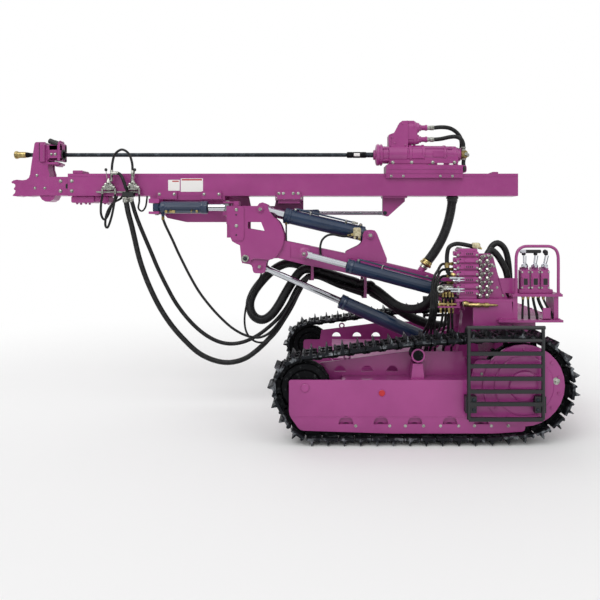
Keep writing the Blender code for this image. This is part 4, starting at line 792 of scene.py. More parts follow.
@dataclass(frozen=True)
class Hose:
    """A free hose: a plain rubber hose, or a corrugated conduit round a bundle, from one seat to another."""

    name: str
    route: Route
    finish: Coat = Coat.RUBBER
    ribs: float = 0.0
    sides: int = 14
    stiffness: str = "stiff"
    body: str = "boom"
    other: str = ""             # body at the far end, where the hose bends over the joint between the two
    # where it leaves the first body and where it joins the other
    turn: tuple[Place, Place] = ((0, 0, 0), (0, 0, 0))
    # share of the length, first body and other body of each joint that it crosses
    spans: tuple[tuple[float, str, str], ...] = ()

    def build(self, *nodes: str) -> None:
        """Args:
            nodes: the solids that it replaces.
        """
        path = self.route.line(self.ribs / 4 if self.ribs else max(0.012, self.route.radius * 0.8))
        first = 0
        for k, (share, body, other) in enumerate(self.spans or ((1.0, self.body, self.other),)):
            last = min(len(path) - 1, round((len(path) - 1) * share / 4) * 4) if share < 1 else len(path) - 1
            part = path[first:last + 1]
            turn = (tuple(part[len(part) // 16]), tuple(part[-1 - len(part) // 16])) if self.spans else self.turn
            self.section(f"{self.name}_{k + 1}" if self.spans else self.name, part, body, other, turn, nodes)
            first = last

    def section(
            self, name: str, path: list[Vector], body: str, other: str, turn: tuple[Place, Place],
            nodes: tuple[str, ...]) -> None:
        """Builds the length of hose over one joint.

        Args:
            name: name of the piece.
            path: middle line.
            body: body that it rides on.
            other: body at its far end, or none.
            turn: where it leaves the first body and where it joins the other.
            nodes: the solids that it replaces.
        """
        r = self.route.radius
        shape = Shape().hose(path, r, self.sides, self.ribs, r * 0.07)
        data = bpy.data.meshes.new(name)
        shape.mesh.to_mesh(data)
        shape.mesh.free()
        piece = settle(bpy.data.objects.new(name, data), body, self.finish, 60.0, other, turn)
        if nodes:
            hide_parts(*nodes)


@dataclass
class HoseSet:
    """The long hoses between feed, boom and chassis, their bundle under the boom and their end fittings."""

    rib: float = 0.013
    fixed: tuple[str, ...] = ("boom_hose_near", "boom_hose_far")

    def build(self) -> None:
        """Builds the hoses, the bundle and the ferrules."""
        front = ((0.45, "feed_beam", "cradle"), (0.62, "cradle", "head"), (1.0, "head", "boom"))
        Hose("hose_front_a", ROUTES["front_hose_a"], ribs=0.012, spans=front).build("front_hose_a")
        Hose("hose_front_b", ROUTES["front_hose_b"], spans=front).build("front_hose_b")
        Hose(
            "hose_front_c", ROUTES["front_hose_c"], sides=10,
            spans=((0.4, "cradle", "head"), (1.0, "head", "boom"))).build("front_hose_c")
        Hose("hose_front_d", ROUTES["front_hose_d"], sides=10).build("front_hose_d")
        Hose("conduit_loop", ROUTES["hose_loop"], Coat.CONDUIT, self.rib, 18).build("hose_loop")
        back = ((0.5, "boom", "swing_post"), (1.0, "swing_post", "chassis"))
        Hose(
            "conduit_rear_near", ROUTES["rear_hose_near"], Coat.CONDUIT, self.rib, 18,
            spans=back).build("rear_hose_near")
        Hose("conduit_rear_far", ROUTES["rear_hose_far"], Coat.CONDUIT, self.rib, 18, spans=back).build("rear_hose_far")
        feed = dict(body="boom", other="head", turn=((1.55, 0.05, 1.42), (1.85, 0.2, 2.12)))
        Hose("conduit_feed", ROUTES["feed_hose"], Coat.CONDUIT, self.rib, 18, **feed).build("feed_hose")
        self.bundle()
        self.ferrules()

    def bundle(self) -> None:
        """Lays the fixed hoses from hanger to hanger under the boom."""
        shape = Shape()
        for name in self.fixed:
            route = ROUTES[name]
            shape.hose(route.line(self.rib / 4), route.radius, 18, self.rib, route.radius * 0.08)
        piece = shape.finish("boom_hose_conduits", "boom", Coat.CONDUIT, 60.0)
        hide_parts("boom_hoses")
        small = Shape()
        for (y0, z0), (y1, z1), r in (((0.135, 1.303), (0.135, 1.152), 0.027), ((0.215, 1.300), (0.205, 1.112), 0.020),
                                      ((0.092, 1.300), (0.097, 1.150), 0.013), ((0.062, 1.292), (0.097, 1.118), 0.010)):
            small.hose(
                smooth_path(
                    [
                        (0.4313, y0, z0), (0.50, y0, z0 - 0.012), (0.69, (y0 + y1) / 2, (z0 + z1) / 2 - 0.010),
                        (0.88, y1, z1 + 0.016), (0.9367, y1, z1)],
                    0.02),
                r, 12)
        small.finish("boom_hose_lines", "boom", Coat.RUBBER, 60.0)

    def ferrules(self) -> None:
        """Adds the crimped ends and nuts of the hoses at the feed, cylinder and boom."""
        for name, body, ends, finish in (
                ("front_hose_ferrules", "feed_beam", (("front_hose_a", 0), ("front_hose_b", 0)), Coat.ZINC),
                ("yaw_hose_ferrule", "yaw_barrel", (("front_hose_c", 0),), Coat.BRASS),
                ("boom_hose_ferrule", "boom", (("front_hose_d", 0),), Coat.ZINC),
                ("feed_hose_collar", "feed_beam", (("feed_hose", 0),), Coat.BLACK),
                ("boom_pipe_collar", "boom", (("feed_hose", -1),), Coat.BRASS),
                ("console_pipe_collar", "chassis", (("rear_hose_near", -1), ("rear_hose_far", -1)), Coat.ZINC)):
            shape = Shape()
            for key, end in ends:
                route = ROUTES[key]
                p = Vector(route.places[end])
                way = Vector(route.first if end == 0 else route.last).normalized()
                r = route.radius
                grip = min(r * 2.6, 0.055)
                shape.turned(p + way * 0.001, p + way, [(0, r * 1.12), (grip * 0.12, r * 1.30), (grip * 0.40, r * 1.30),
                                                        (grip * 0.44, r * 1.10)], 6 if r < 0.04 else 24)
                shape.turned(
                    p + way * grip * 0.4, p + way,
                    [
                        (0, r * 1.08), (grip * 0.06, r * 1.16), (grip * 0.25, r * 1.10), (grip * 0.31, r * 1.16),
                        (grip * 0.55, r * 1.10), (grip * 0.6, r * 1.02)],
                    20)
            shape.finish(name, body, finish)


# ---------------------------------------------------------------------------------------------------------------------
# Undercarriage
# ---------------------------------------------------------------------------------------------------------------------
@dataclass
class Loop:
    """The line of the chain's pins round the idler, the rollers, the drive wheel and the carrier roller."""

    circles: tuple[Place, ...]
    pitch: float = 0.135

    def belt(self) -> list[Flat]:
        """Follows the tight outer belt round the circles as a polyline."""
        points: list[Flat] = []
        count = len(self.circles)
        for i in range(count):
            before, here, after = self.circles[i - 1], self.circles[i], self.circles[(i + 1) % count]
            start, end = self.leave(before, here), self.leave(here, after)
            while end < start - 1e-9:
                end += math.tau
            steps = max(1, int((end - start) / 0.05))
            for k in range(steps + 1):
                a = start + (end - start) * k / steps
                points.append((here[0] + here[2] * math.cos(a), here[1] + here[2] * math.sin(a)))
        return points

    @staticmethod
    def leave(a: Place, b: Place) -> float:
        """Gives the angle at which the belt leaves circle a for circle b."""
        dx, dz = b[0] - a[0], b[1] - a[1]
        return math.atan2(dz, dx) - math.acos((a[2] - b[2]) / math.hypot(dx, dz))

    def pins(self) -> list[Flat]:
        """Gives the pins at equal steps round the belt."""
        closed = self.belt()
        closed = closed + closed[:1]
        lengths = [math.dist(a, b) for a, b in zip(closed, closed[1:])]
        total = sum(lengths)
        count = round(total / self.pitch)
        out, i, gone = [], 0, 0.0
        for k in range(count):
            want = total * k / count
            while gone + lengths[i] < want:
                gone += lengths[i]
                i += 1
            t = (want - gone) / lengths[i]
            a, b = closed[i], closed[i + 1]
            out.append((a[0] + (b[0] - a[0]) * t, a[1] + (b[1] - a[1]) * t))
        return out


IDLER, DRIVE, REFLECTOR = (0.380, 0.470), (2.185, 0.493), (1.016, 0.428)     # x and z on the track frame
FRAME_OUT, FRAME_IN = 1.050, 0.852      # a track frame's outer and inner face, from the middle plane


@dataclass
class Crawler:
    """One crawler: chain, shoes, and the bolts, drive cover, idler cap, tension plug and reflector of its frame."""

    side: str
    mid: float = 0.95
    width: float = 0.30
    plate: float = 0.018
    grouser: float = 0.048
    half_link: float = 0.022
    loop: Loop = field(default_factory=lambda: Loop((
        (*IDLER, 0.229), (0.390, 0.198, 0.110), (1.860, 0.198, 0.110), (*DRIVE, 0.378),
        (1.320, 0.520, 0.300))))

    @property
    def sign(self) -> int:
        """Gives -1 for the left side and 1 for the right side."""
        return -1 if self.side == "left" else 1

    def build(self) -> None:
        """Builds the crawler's pieces and hides its plain track solid."""
        pins = self.loop.pins()
        self.chain(pins)
        self.frame_details()

    def chain(self, pins: Sequence[Flat]) -> None:
        """Lays shoes and links round the loop.

        Args:
            pins: the chain's pins as (x, z).
        """
        step = math.dist(pins[0], pins[1])
        places = []
        for i, a in enumerate(pins):
            b = pins[(i + 1) % len(pins)]
            along = Vector((b[0] - a[0], 0, b[1] - a[1])).normalized()
            out = Vector((along.z, 0, -along.x))
            turn = Matrix((along, out.cross(along), out)).transposed()
            places.append(((a[0], self.sign * self.mid, a[1]), turn))
        top = self.half_link + self.plate
        half = self.width / 2
        shoe = Shape()
        section = [
            (0.03, self.half_link - 0.004), (0.03, top - 0.004), (0.06, top), (0.28, top),
            (0.325, top + self.grouser - 0.008), (0.345, top + self.grouser), (0.385, top + self.grouser),
            (0.40, top + self.grouser - 0.008), (0.47, top + 0.002), (0.78, top), (0.82, top + 0.011),
            (0.90, top + 0.012), (0.97, top - 0.002), (0.97, self.half_link - 0.004)]
        rows = []
        for y, drop in ((-half, 0.010), (-half + 0.012, 0.0), (half - 0.012, 0.0), (half, 0.010)):
            rows.append([Vector((s * step, y, min(z, top + self.grouser - drop * 1.5) if z > top + 0.02 else z))
                         for s, z in section])
        shoe.rings(rows)
        unit = unit_object(shoe, f"shoe_{self.side}_unit")
        piece = Repeat(f"shoes_{self.side}", unit, places).build("chassis", Coat.SHOE)
        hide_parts("track_" + self.side)
        nuts = Shape()
        for x in (0.14, 0.62):
            for y in (-0.054, 0.054):
                nuts.turned(
                    (x * step, y, top - 0.001), (x * step, y, 1), [(0, 0.017), (0.010, 0.017), (0.013, 0.013)], 6)
        for y in (-0.11, 0.11):
            nuts.block((0.56 * step, y - 0.022, top - 0.002), (0.76 * step, y + 0.022, top + 0.003))
        Repeat(
            f"shoe_bolts_{self.side}", unit_object(nuts, f"nut_{self.side}_unit"), places).build("chassis", Coat.LINK)
        links = Shape()
        h = self.half_link
        side_view = [
            (-0.20, -0.6), (-0.06, -1.0), (0.10, -1.0), (0.22, -0.62), (0.78, -0.62), (0.90, -1.0), (1.05, -1.0),
            (1.16, -0.5), (1.14, 0.45), (1.02, 0.86), (-0.04, 0.86), (-0.18, 0.4)]
        for y0, y1, shift in ((-0.070, -0.055, 0.0), (-0.054, -0.040, 0.06), (0.055, 0.070, 0.0), (0.040, 0.054, 0.06)):
            links.plate([((s * 0.86 + 0.02 + shift) * step, z * h) for s, z in side_view], y0, y1)
        links.bar((0.03 * step, -0.078, 0), (0.03 * step, 0.078, 0), 0.011, 10)
        links.bar((0.03 * step, -0.040, 0), (0.03 * step, 0.040, 0), 0.017, 10)
        Repeat(f"chain_{self.side}", unit_object(links, f"link_{self.side}_unit"), places).build("chassis", Coat.LINK)

    def frame_details(self) -> None:
        """Adds the bolts, drive cover, idler cap, tension plug and reflector to the track frame's outer face."""
        s = self.sign
        out = s * FRAME_OUT
        n = (0, s, 0)
        small = [((x, out, 0.157), n) for x in (0.80, 1.08, 1.21, 1.36, 1.50, 1.65, 1.78, 1.92, 2.06)]
        small += [((x, out, 0.585), n) for x in (1.84, 1.93)]
        bolts(f"track_frame_bolts_{self.side}", "chassis", small, 0.020, 0.008)
        ring = [((DRIVE[0] + 0.295 * math.cos(a), s * 1.062, DRIVE[1] + 0.295 * math.sin(a)), n)
                for a in [math.tau * (k + 0.5) / 14 for k in range(14)]]
        bolts(f"drive_cover_bolts_{self.side}", "chassis", ring, 0.024, 0.010, Coat.PAINT)
        cover = Shape()
        cover.turned((DRIVE[0], s * 1.060, DRIVE[1]), (DRIVE[0], s * 2, DRIVE[1]),
                     [(0, 0.246), (0.008, 0.246), (0.014, 0.238), (0.014, 0.13), (0.030, 0.12), (0.036, 0.105)], 40)
        cover.turned((IDLER[0], s * 1.048, IDLER[1]), (IDLER[0], s * 2, IDLER[1]),
                     [(0, 0.035), (0.010, 0.035), (0.014, 0.030)], 20)
        cover.finish(f"drive_cover_{self.side}", "chassis", Coat.PAINT)
        plug = Shape()
        plug.turned((2.452, out, 0.530), (2.452, s * 2, 0.530), [(0, 0.030), (0.014, 0.030), (0.016, 0.024)], 18)
        plug.turned((2.452, s * 1.060, 0.530), (2.452, s * 2, 0.530), [(0, 0.016), (0.020, 0.016), (0.022, 0.012)], 6)
        plug.finish(f"tension_plug_{self.side}", "chassis", Coat.ZINC)
        spot = Shape()
        x, z = REFLECTOR
        spot.turned((x, s * 1.049, z), (x, s * 2, z), [(0, 0.027), (0.004, 0.027), (0.007, 0.023)], 24)
        spot.finish(f"side_reflector_{self.side}", "chassis", Coat.RED)
        rim = Shape()
        rim.ring((x, s * 1.052, z), n, 0.029, 0.003, 24, 6)
        rim.finish(f"reflector_rim_{self.side}", "chassis", Coat.PAINT)


# ---------------------------------------------------------------------------------------------------------------------
# Boom, cylinders and head
# ---------------------------------------------------------------------------------------------------------------------
@dataclass(frozen=True)
class Cylinder:
    """What a hydraulic cylinder carries: gland, wiper, ports with fittings, and the steel pipe along the barrel."""

    name: str
    body: str
    base: Place
    eye: Place
    length: float               # from the base pin to the end of the barrel
    bore: float                 # radius of the barrel
    rod: float                  # radius of the rod
    side: Place                 # way in which the ports face
    fittings: Coat = Coat.ZINC
    foot_ring: float = 0.055    # from the base pin to the ring at the barrel's foot
    foot_port: float = 0.11     # from the base pin to the first port
    gland_port: float = 0.09    # from the barrel's end back to the second port
    pipe_end: float = 0.20      # from the base pin to the pipe's end
    pipe_gap: float = 0.022     # from the barrel's face to the pipe's middle

    def build(self) -> None:
        """Builds the cylinder's pieces."""
        p, q = Vector(self.base), Vector(self.eye)
        line = (q - p).normalized()
        out = (Vector(self.side) - line * Vector(self.side).dot(line)).normalized()
        end = self.length
        gland = Shape()
        gland.turned(p + line * (end - 0.060), q, [(0, self.bore), (0.006, self.bore * 1.07), (0.030, self.bore * 1.07),
                                                   (0.034, self.bore * 1.03), (0.040, self.bore * 1.07),
                                                   (0.063, self.bore * 1.07), (0.068, self.bore * 0.98)], 28)
        gland.turned(
            p + line * self.foot_ring, q,
            [(0, self.bore * 0.9), (0.004, self.bore * 1.02), (0.030, self.bore * 1.02), (0.036, self.bore)], 28)
        for s in (self.foot_port, end - self.gland_port):
            at = p + line * s + out * (self.bore - 0.006)
            gland.turned(at, at + out, [(0, 0.022), (0.018, 0.020), (0.020, 0.017)], 16)
        pipe = self.bore + self.pipe_gap
        run = [p + line * (end - self.gland_port) + out * (self.bore + 0.010), p + line * (end - 0.092) + out * pipe,
               p + line * (end - 0.125) + out * (pipe + 0.006), p + line * (end * 0.6) + out * (pipe + 0.004),
               p + line * self.pipe_end + out * (pipe + 0.004)]
        gland.hose(smooth_path([tuple(v) for v in run], 0.012), 0.009, 10)
        gland.finish(self.name + "_gland", self.body, Coat.NAVY)
        seal = Shape()
        seal.turned(
            p + line * (end + 0.006), q, [(0, self.rod * 1.32), (0.006, self.rod * 1.30), (0.010, self.rod * 1.04)], 24)
        seal.finish(self.name + "_wiper", self.body, Coat.GRIP_AND_SHADE)
        ends = Shape()
        for s in (self.foot_port, end - self.gland_port):
            at = p + line * s + out * (self.bore + 0.012)
            ends.turned(at, at + out, [(0, 0.0165), (0.014, 0.0165), (0.017, 0.013)], 6)
        at = p + line * self.pipe_end + out * (pipe + 0.004)
        ends.turned(at, at - line, [(0, 0.014), (0.030, 0.014), (0.032, 0.010), (0.060, 0.010)], 6)
        for s in (0.30, 0.72):
            at = p + line * (end * s) + out * (self.bore - 0.002)
            ends.turned(at, at + out, [(0, 0.012), (0.034, 0.012), (0.037, 0.008)], 8)
        ends.finish(self.name + "_fittings", self.body, self.fittings)


@dataclass
class PinEnds:
    """Ends of the joint pins: washer, cap and keeper bolts on both sides of each joint."""

    # name, body, x, z, distance of the faces from the middle plane, middle plane's y, radius, finish
    rows: tuple[tuple[str, str, float, float, float, float, float, Coat], ...] = (
        ("foot_pin", "swing_post", 1.700, 1.215, 0.146, 0.0, 0.050, Coat.PAINT),
        ("lift_base_pin", "swing_post", 1.600, 0.672, 0.108, 0.0, 0.038, Coat.PAINT),
        ("tilt_base_pin", "boom", 0.988, 1.722, 0.112, 0.0, 0.036, Coat.PAINT),
        ("head_pin", "boom", -0.232, 1.496, 0.136, 0.0, 0.036, Coat.ZINC),
        ("tilt_eye_pin", "head", -0.086, 1.976, 0.134, 0.0, 0.032, Coat.PAINT),
        ("lift_eye_pin", "boom", -0.097, 1.416, 0.101, 0.0, 0.030, Coat.PAINT),
        ("swing_base_pin", "swing_yoke", 1.880, 1.140, 0.102, -0.350, 0.034, Coat.PAINT),
    )

    def build(self) -> None:
        """Builds the pin ends."""
        for name, body, x, z, face, mid, r, finish in self.rows:
            cap, core = Shape(), Shape()
            for sign in (-1, 1):
                y = mid + sign * face
                n = (x, y + sign, z)
                cap.turned((x, y - sign * 0.004, z), n, [(0, r), (0.010, r), (0.013, r - 0.004)], 28)
                core.turned((x, y, z), n, [(0, r * 0.55), (0.015, r * 0.55), (0.018, r * 0.45)], 20)
                core.hexagon((x, y + sign * 0.017, z), (0, sign, 0), r * 0.55, 0.008)
            cap.finish(name + "_caps", body, finish)
            core.finish(name + "_bolts", body, Coat.ZINC if finish is not Coat.ZINC else Coat.ROD)
        lug = Shape()
        lug.turned(
            (0.343, -0.098, 1.544), (0.343, -1, 1.544), [(0, 0.060), (0.010, 0.060), (0.016, 0.040), (0.056, 0.034)],
            28)
        lug.turned((0.343, -0.2195, 1.544), (0.343, -1, 1.544), [(0, 0.038), (0.010, 0.038), (0.014, 0.033)], 28)
        lug.finish("swing_eye_lug", "boom", Coat.PAINT)
        core = Shape()
        core.ring((0.343, -0.2335, 1.544), (0, 1, 0), 0.019, 0.003, 24, 6)
        core.hexagon((0.343, -0.2330, 1.544), (0, -1, 0), 0.020, 0.008)
        core.finish("swing_eye_bolt", "boom", Coat.ZINC)


@dataclass
class Boom:
    """Details of the boom: weld beads, plates, hose block with its fittings and hoses, unions, and bolts of hangers and
    gussets.
    """

    half: float = 0.100

    def build(self) -> None:
        """Builds the boom's details."""
        weld = Shape()
        for sign in (-1, 1):
            y = sign * (self.half + 0.0005)
            weld.weld([(0.76, y, 1.505), (0.95, y, 1.480), (1.15, y, 1.456)], 0.0045)
            weld.weld([(0.205, y, 1.50), (0.205, y, 1.57), (0.205, y, 1.64)], 0.0045)
            weld.weld([(0.25, y, 1.642), (0.50, y, 1.590), (0.735, y, 1.542)], 0.0035)
            weld.weld([(0.22, y, 1.475), (0.55, y, 1.403), (0.90, y, 1.321), (1.45, y, 1.197)], 0.0035)
        weld.finish("boom_welds", "boom", Coat.PAINT)
        plates = Shape()
        for sign in (-1, 1):
            y0, y1 = sorted((sign * self.half, sign * (self.half + 0.008)))
            plates.plate(
                [(1.52, 1.185), (1.58, 1.150), (1.66, 1.150), (1.66, 1.20), (1.60, 1.34), (1.52, 1.352)], y0, y1)
            plates.plate([(0.215, 1.515), (0.30, 1.497), (0.30, 1.575), (0.215, 1.592)], y0, y1)
        for x, z0, z1 in ((0.403, 1.272, 1.445), (0.937, 1.094, 1.335)):
            # Turned edges of the hose hangers
            plates.block((x - 0.020, 0.296, z0), (x + 0.030, 0.302, z1 - 0.02), 0.002)
            plates.block((x - 0.020, 0.050, z0 - 0.003), (x + 0.030, 0.302, z0 + 0.001), 0.0)
        plates.finish("boom_plates", "boom", Coat.PAINT)
        spots = [((x, -self.half - 0.008, z), (0, -1, 0)) for x, z in ((1.545, 1.32), (1.60, 1.20), (1.545, 1.21))]
        spots += [((x, 0.302, z), (0, 1, 0)) for x, z in ((0.409, 1.40), (0.409, 1.30), (0.943, 1.28), (0.943, 1.13))]
        bolts("boom_bolts", "boom", spots, 0.022, 0.010)
        block = Shape()
        block.block((0.822, -0.138, 1.712), (0.896, -0.070, 1.798), 0.008)
        for x in (0.838, 0.880):
            block.turned(
                (x, -0.120, 1.715), (x, -0.120, 0), [(0, 0.013), (0.016, 0.013), (0.020, 0.010), (0.030, 0.010)], 6)
            block.hexagon((x, -0.138, 1.775), (0, -1, 0), 0.016, 0.007)
        block.finish("counterbalance_valve", "tilt_barrel", Coat.BEIGE)
        nuts = Shape()
        nuts.turned(
            (0.830, -0.097, 1.731), (0.745, -0.114, 1.711),
            [(0, 0.014), (0.030, 0.014), (0.034, 0.013), (0.066, 0.013)], 6)
        nuts.turned((0.880, -0.120, 1.698), (0.880, -0.120, 0), [(0, 0.014), (0.018, 0.014)], 6)
        nuts.turned((0.160, -0.030, 1.852), (0.160, -0.030, 0), [(0, 0.012), (0.028, 0.012)], 6)
        nuts.finish("valve_fittings", "tilt_barrel", Coat.BRASS)
        Hose(
            "hose_tilt_valve",
            Route(0.011, (-1, 0, -0.2), (0, 0, 1), (
                (0.850, -0.092, 1.736), (0.800, -0.105, 1.724), (0.745, -0.114, 1.712), (0.690, -0.117, 1.718),
                (0.630, -0.117, 1.730), (0.570, -0.117, 1.722), (0.520, -0.117, 1.680), (0.500, -0.116, 1.620),
                (0.500, -0.112, 1.560), (0.505, -0.1015, 1.500))),
            sides=10, body="tilt_barrel", other="boom", turn=((0.79, -0.117, 1.70), (0.505, -0.1, 1.55))).build()
        Hose("hose_tilt_gland", Route(0.008, (0, 0, -1), (0, 0, 1), (
            (0.160, -0.030, 1.846), (0.161, -0.034, 1.800), (0.163, -0.064, 1.730), (0.166, -0.090, 1.668))),
            sides=10, body="tilt_barrel", other="boom", turn=((0.16, -0.03, 1.83), (0.166, -0.09, 1.68))).build()
        stub = Shape()
        stub.turned((0.505, -0.098, 1.488), (0.505, -0.098, 2), [(0, 0.016), (0.014, 0.016)], 6)
        stub.turned(
            (1.5467, 0.045, 1.4207), (1.485, 0.045, 1.334),
            [(0, 0.0375), (0.012, 0.042), (0.030, 0.042), (0.036, 0.0375)], 24)
        stub.finish("boom_unions", "boom", Coat.ZINC)

    @staticmethod
    def cylinders() -> tuple[Cylinder, ...]:
        """Gives the rig's hydraulic cylinders."""
        return (
            Cylinder(
                "tilt_cylinder", "tilt_barrel", (0.988, 0, 1.722), (-0.086, 0, 1.976), 0.86, 0.074, 0.045,
                (0, -0.55, 1)),
            Cylinder(
                "lift_cylinder", "lift_barrel", (1.600, 0, 0.672), (-0.097, 0, 1.416), 0.98, 0.068, 0.032,
                (0, 0.9, 0.4)),
            Cylinder(
                "swing_cylinder", "swing_barrel", (1.880, -0.350, 1.140), (0.343, -0.190, 1.544), 1.16, 0.062, 0.030,
                (0, -0.25, 1)),
            Cylinder(
                "feed_swing_cylinder", "yaw_barrel", (-1.130, 0, 2.0), (-0.425, 0, 2.0), 0.50, 0.060, 0.034,
                (0, -0.8, -0.5), Coat.BRASS),
            Cylinder(
                "feed_slide_cylinder", "cradle", (-0.190, 0.245, 1.950), (1.162, 0.245, 1.950), 0.663, 0.036, 0.020,
                (0, -1, 0.2)),)


@dataclass
class Head:
    """Tilting head: bolted mount plate, hinge pin caps and the weld round the window."""

    face: float = 0.126

    def build(self) -> None:
        """Builds the head's details."""
        plate = Shape()
        plate.plate(
            [(-0.408, 1.842), (-0.380, 1.805), (-0.376, 1.715), (-0.352, 1.672), (-0.262, 1.672), (-0.246, 1.70),
             (-0.246, 1.990), (-0.262, 2.004), (-0.408, 2.004)],
            -self.face - 0.010, -self.face)
        for z in (1.688, 2.006):
            plate.turned(
                (-0.325, 0.200, z), (-0.325, 0.200, z + 1 if z > 1.9 else 0),
                [(0, 0.044), (0.010, 0.044), (0.014, 0.038)], 28)
        plate.finish("head_plates", "head", Coat.PAINT)
        n = (0, -1, 0)
        out = -self.face - 0.010
        bolts("head_bolts", "head", [((-0.318, out, z), n) for z in (1.973, 1.815)], 0.026, 0.010)
        dots = Shape()
        for z in (1.923, 1.726):
            dots.turned(
                (-0.320, out + 0.002, z), (-0.320, out - 1, z), [(0, 0.008), (0.005, 0.008), (0.006, 0.006)], 12)
        for z in (1.703, 2.020):
            way = -1 if z < 1.9 else 1
            dots.hexagon((-0.325, 0.200, z - 0.003 * way), (0, 0, way), 0.040, 0.014)
        dots.finish("head_plugs", "head", Coat.ROD)
        weld = Shape()
        for sign in (-1, 1):
            y = sign * (self.face + 0.0005)
            weld.weld([(-0.190, y, 1.455), (-0.150, y, 1.497), (0.0, y, 1.488), (0.056, y, 1.508), (0.096, y, 1.558),
                       (0.126, y, 1.614), (0.144, y, 1.70), (0.130, y, 1.773), (0.095, y, 1.852), (0.040, y, 1.904)],
                      0.0035)
        weld.finish("head_edge", "head", Coat.PAINT)


# ---------------------------------------------------------------------------------------------------------------------
# Feed beam and what it carries
# ---------------------------------------------------------------------------------------------------------------------
@dataclass
class Feed:
    """Feed beam: rails, blank plates, bolts, stops and the take-up box under its front; and the cradle's bolts."""

    near: float = 0.095
    far: float = 0.305
    low: float = 2.120
    high: float = 2.346

    def build(self) -> None:
        """Builds the beam's details."""
        trim = Shape()
        for y0, y1 in ((self.near - 0.003, self.near), (self.far, self.far + 0.003)):
            trim.block((-2.050, y0, self.high - 0.026), (2.498, y1, self.high - 0.0005))
            trim.block((-2.050, y0, self.low + 0.0005), (2.498, y1, self.low + 0.016))
        trim.block((-2.016, 0.110, self.high), (-1.915, 0.290, self.high + 0.034), 0.006)
        trim.block((2.245, 0.120, self.high), (2.306, 0.280, self.high + 0.020), 0.004)
        trim.block((-2.036, 0.120, 2.052), (-1.800, 0.280, self.low - 0.0005), 0.010)
        trim.block((-1.802, 0.130, 2.062), (-1.745, 0.270, self.low - 0.0005), 0.010)
        trim.block((-1.750, 0.120, 2.046), (-1.655, 0.280, self.low - 0.0005), 0.012)
        for x in (-1.985, -1.895, -1.700):
            trim.turned((x, 0.150, 2.060), (x, 0.150, 0), [(0, 0.012), (0.020, 0.012), (0.024, 0.007)], 8)
            trim.turned((x, 0.250, 2.060), (x, 0.250, 0), [(0, 0.012), (0.020, 0.012), (0.024, 0.007)], 8)
        trim.finish("beam_trim", "feed_beam", Coat.PAINT)
        n, far = (0, -1, 0), (0, 1, 0)
        front = [((x, y, z), n) for x, y in ((-2.140, 0.115), (-2.018, self.near)) for z in (2.271, 2.170)]
        front += [((x, y, z), far) for x, y in ((-2.140, 0.285), (-2.018, self.far)) for z in (2.271, 2.170)]
        front += [((x, 0.200, 2.112), (0, 0, -1)) for x in (1.180, 1.330)]
        bolts("beam_front_bolts", "feed_beam", front, 0.028, 0.010)
        # Thin black stadium on the front plate: painted shade of a slot
        slot = Shape()
        slot.turned((-2.075, 0.1155, 2.232), (-2.075, 0, 2.232), [(0, 0.013), (0.002, 0.013)], 16)
        slot.turned((-2.075, 0.1155, 2.208), (-2.075, 0, 2.208), [(0, 0.013), (0.002, 0.013)], 16)
        slot.block((-2.088, 0.1135, 2.208), (-2.062, 0.1155, 2.232))
        slot.finish("beam_front_slot", "feed_beam", Coat.GRIP_AND_SHADE)
        plates, bands = Shape(), Shape()
        plates.block((-1.042, self.near - 0.0015, 2.172), (-0.925, self.near, 2.282))
        plates.block((-0.915, self.near - 0.0015, 2.162), (-0.690, self.near, 2.296))
        bands.block((-1.000, self.near - 0.0022, 2.262), (-0.935, self.near - 0.0010, 2.274))
        bands.block((-0.905, self.near - 0.0022, 2.276), (-0.700, self.near - 0.0010, 2.290))
        plates.finish("blank_plates", "feed_beam", Coat.PLATE)
        bands.finish("blank_plate_bands", "feed_beam", Coat.RED)
        guide = [((x, 0.073, 2.144), n) for x in (0.080, 0.125, 0.225, 0.275)]
        guide += [((x, 0.094, 2.097), n) for x in (0.062, 0.130, 0.230, 0.300)]
        guide += [((x, 0.073, 2.136), n) for x in (-1.125, -0.975, -0.675, -0.525)]
        guide += [((x, 0.327, z), far) for x, z in ((0.080, 2.144), (0.275, 2.144), (-1.125, 2.136), (-0.975, 2.136),
                                                    (-0.675, 2.136), (-0.525, 2.136))]
        bolts("guide_bolts", "cradle", guide, 0.024, 0.009)
        caps = Shape()
        for z, way in ((2.060, 1), (1.934, -1)):
            caps.hexagon((-1.130, 0.0, z), (0, 0, way), 0.040, 0.012)
        caps.turned((-0.190, 0.215, 1.950), (-0.190, 0, 1.950), [(0, 0.020), (0.008, 0.020), (0.010, 0.016)], 20)
        caps.finish("cradle_pin_heads", "cradle", Coat.ZINC)
        pin = Shape()
        pin.turned((1.162, 0.199, 1.950), (1.162, 0, 1.950), [(0, 0.020), (0.010, 0.020), (0.012, 0.015)], 20)
        pin.finish("slide_pin_head", "feed_beam", Coat.ROD)
        pins = Shape()
        for z, way in ((2.057, 1), (1.920, -1)):
            pins.hexagon((-0.425, 0.0, z), (0, 0, way), 0.040, 0.012)
        pins.finish("swing_pin_heads", "head", Coat.ZINC)


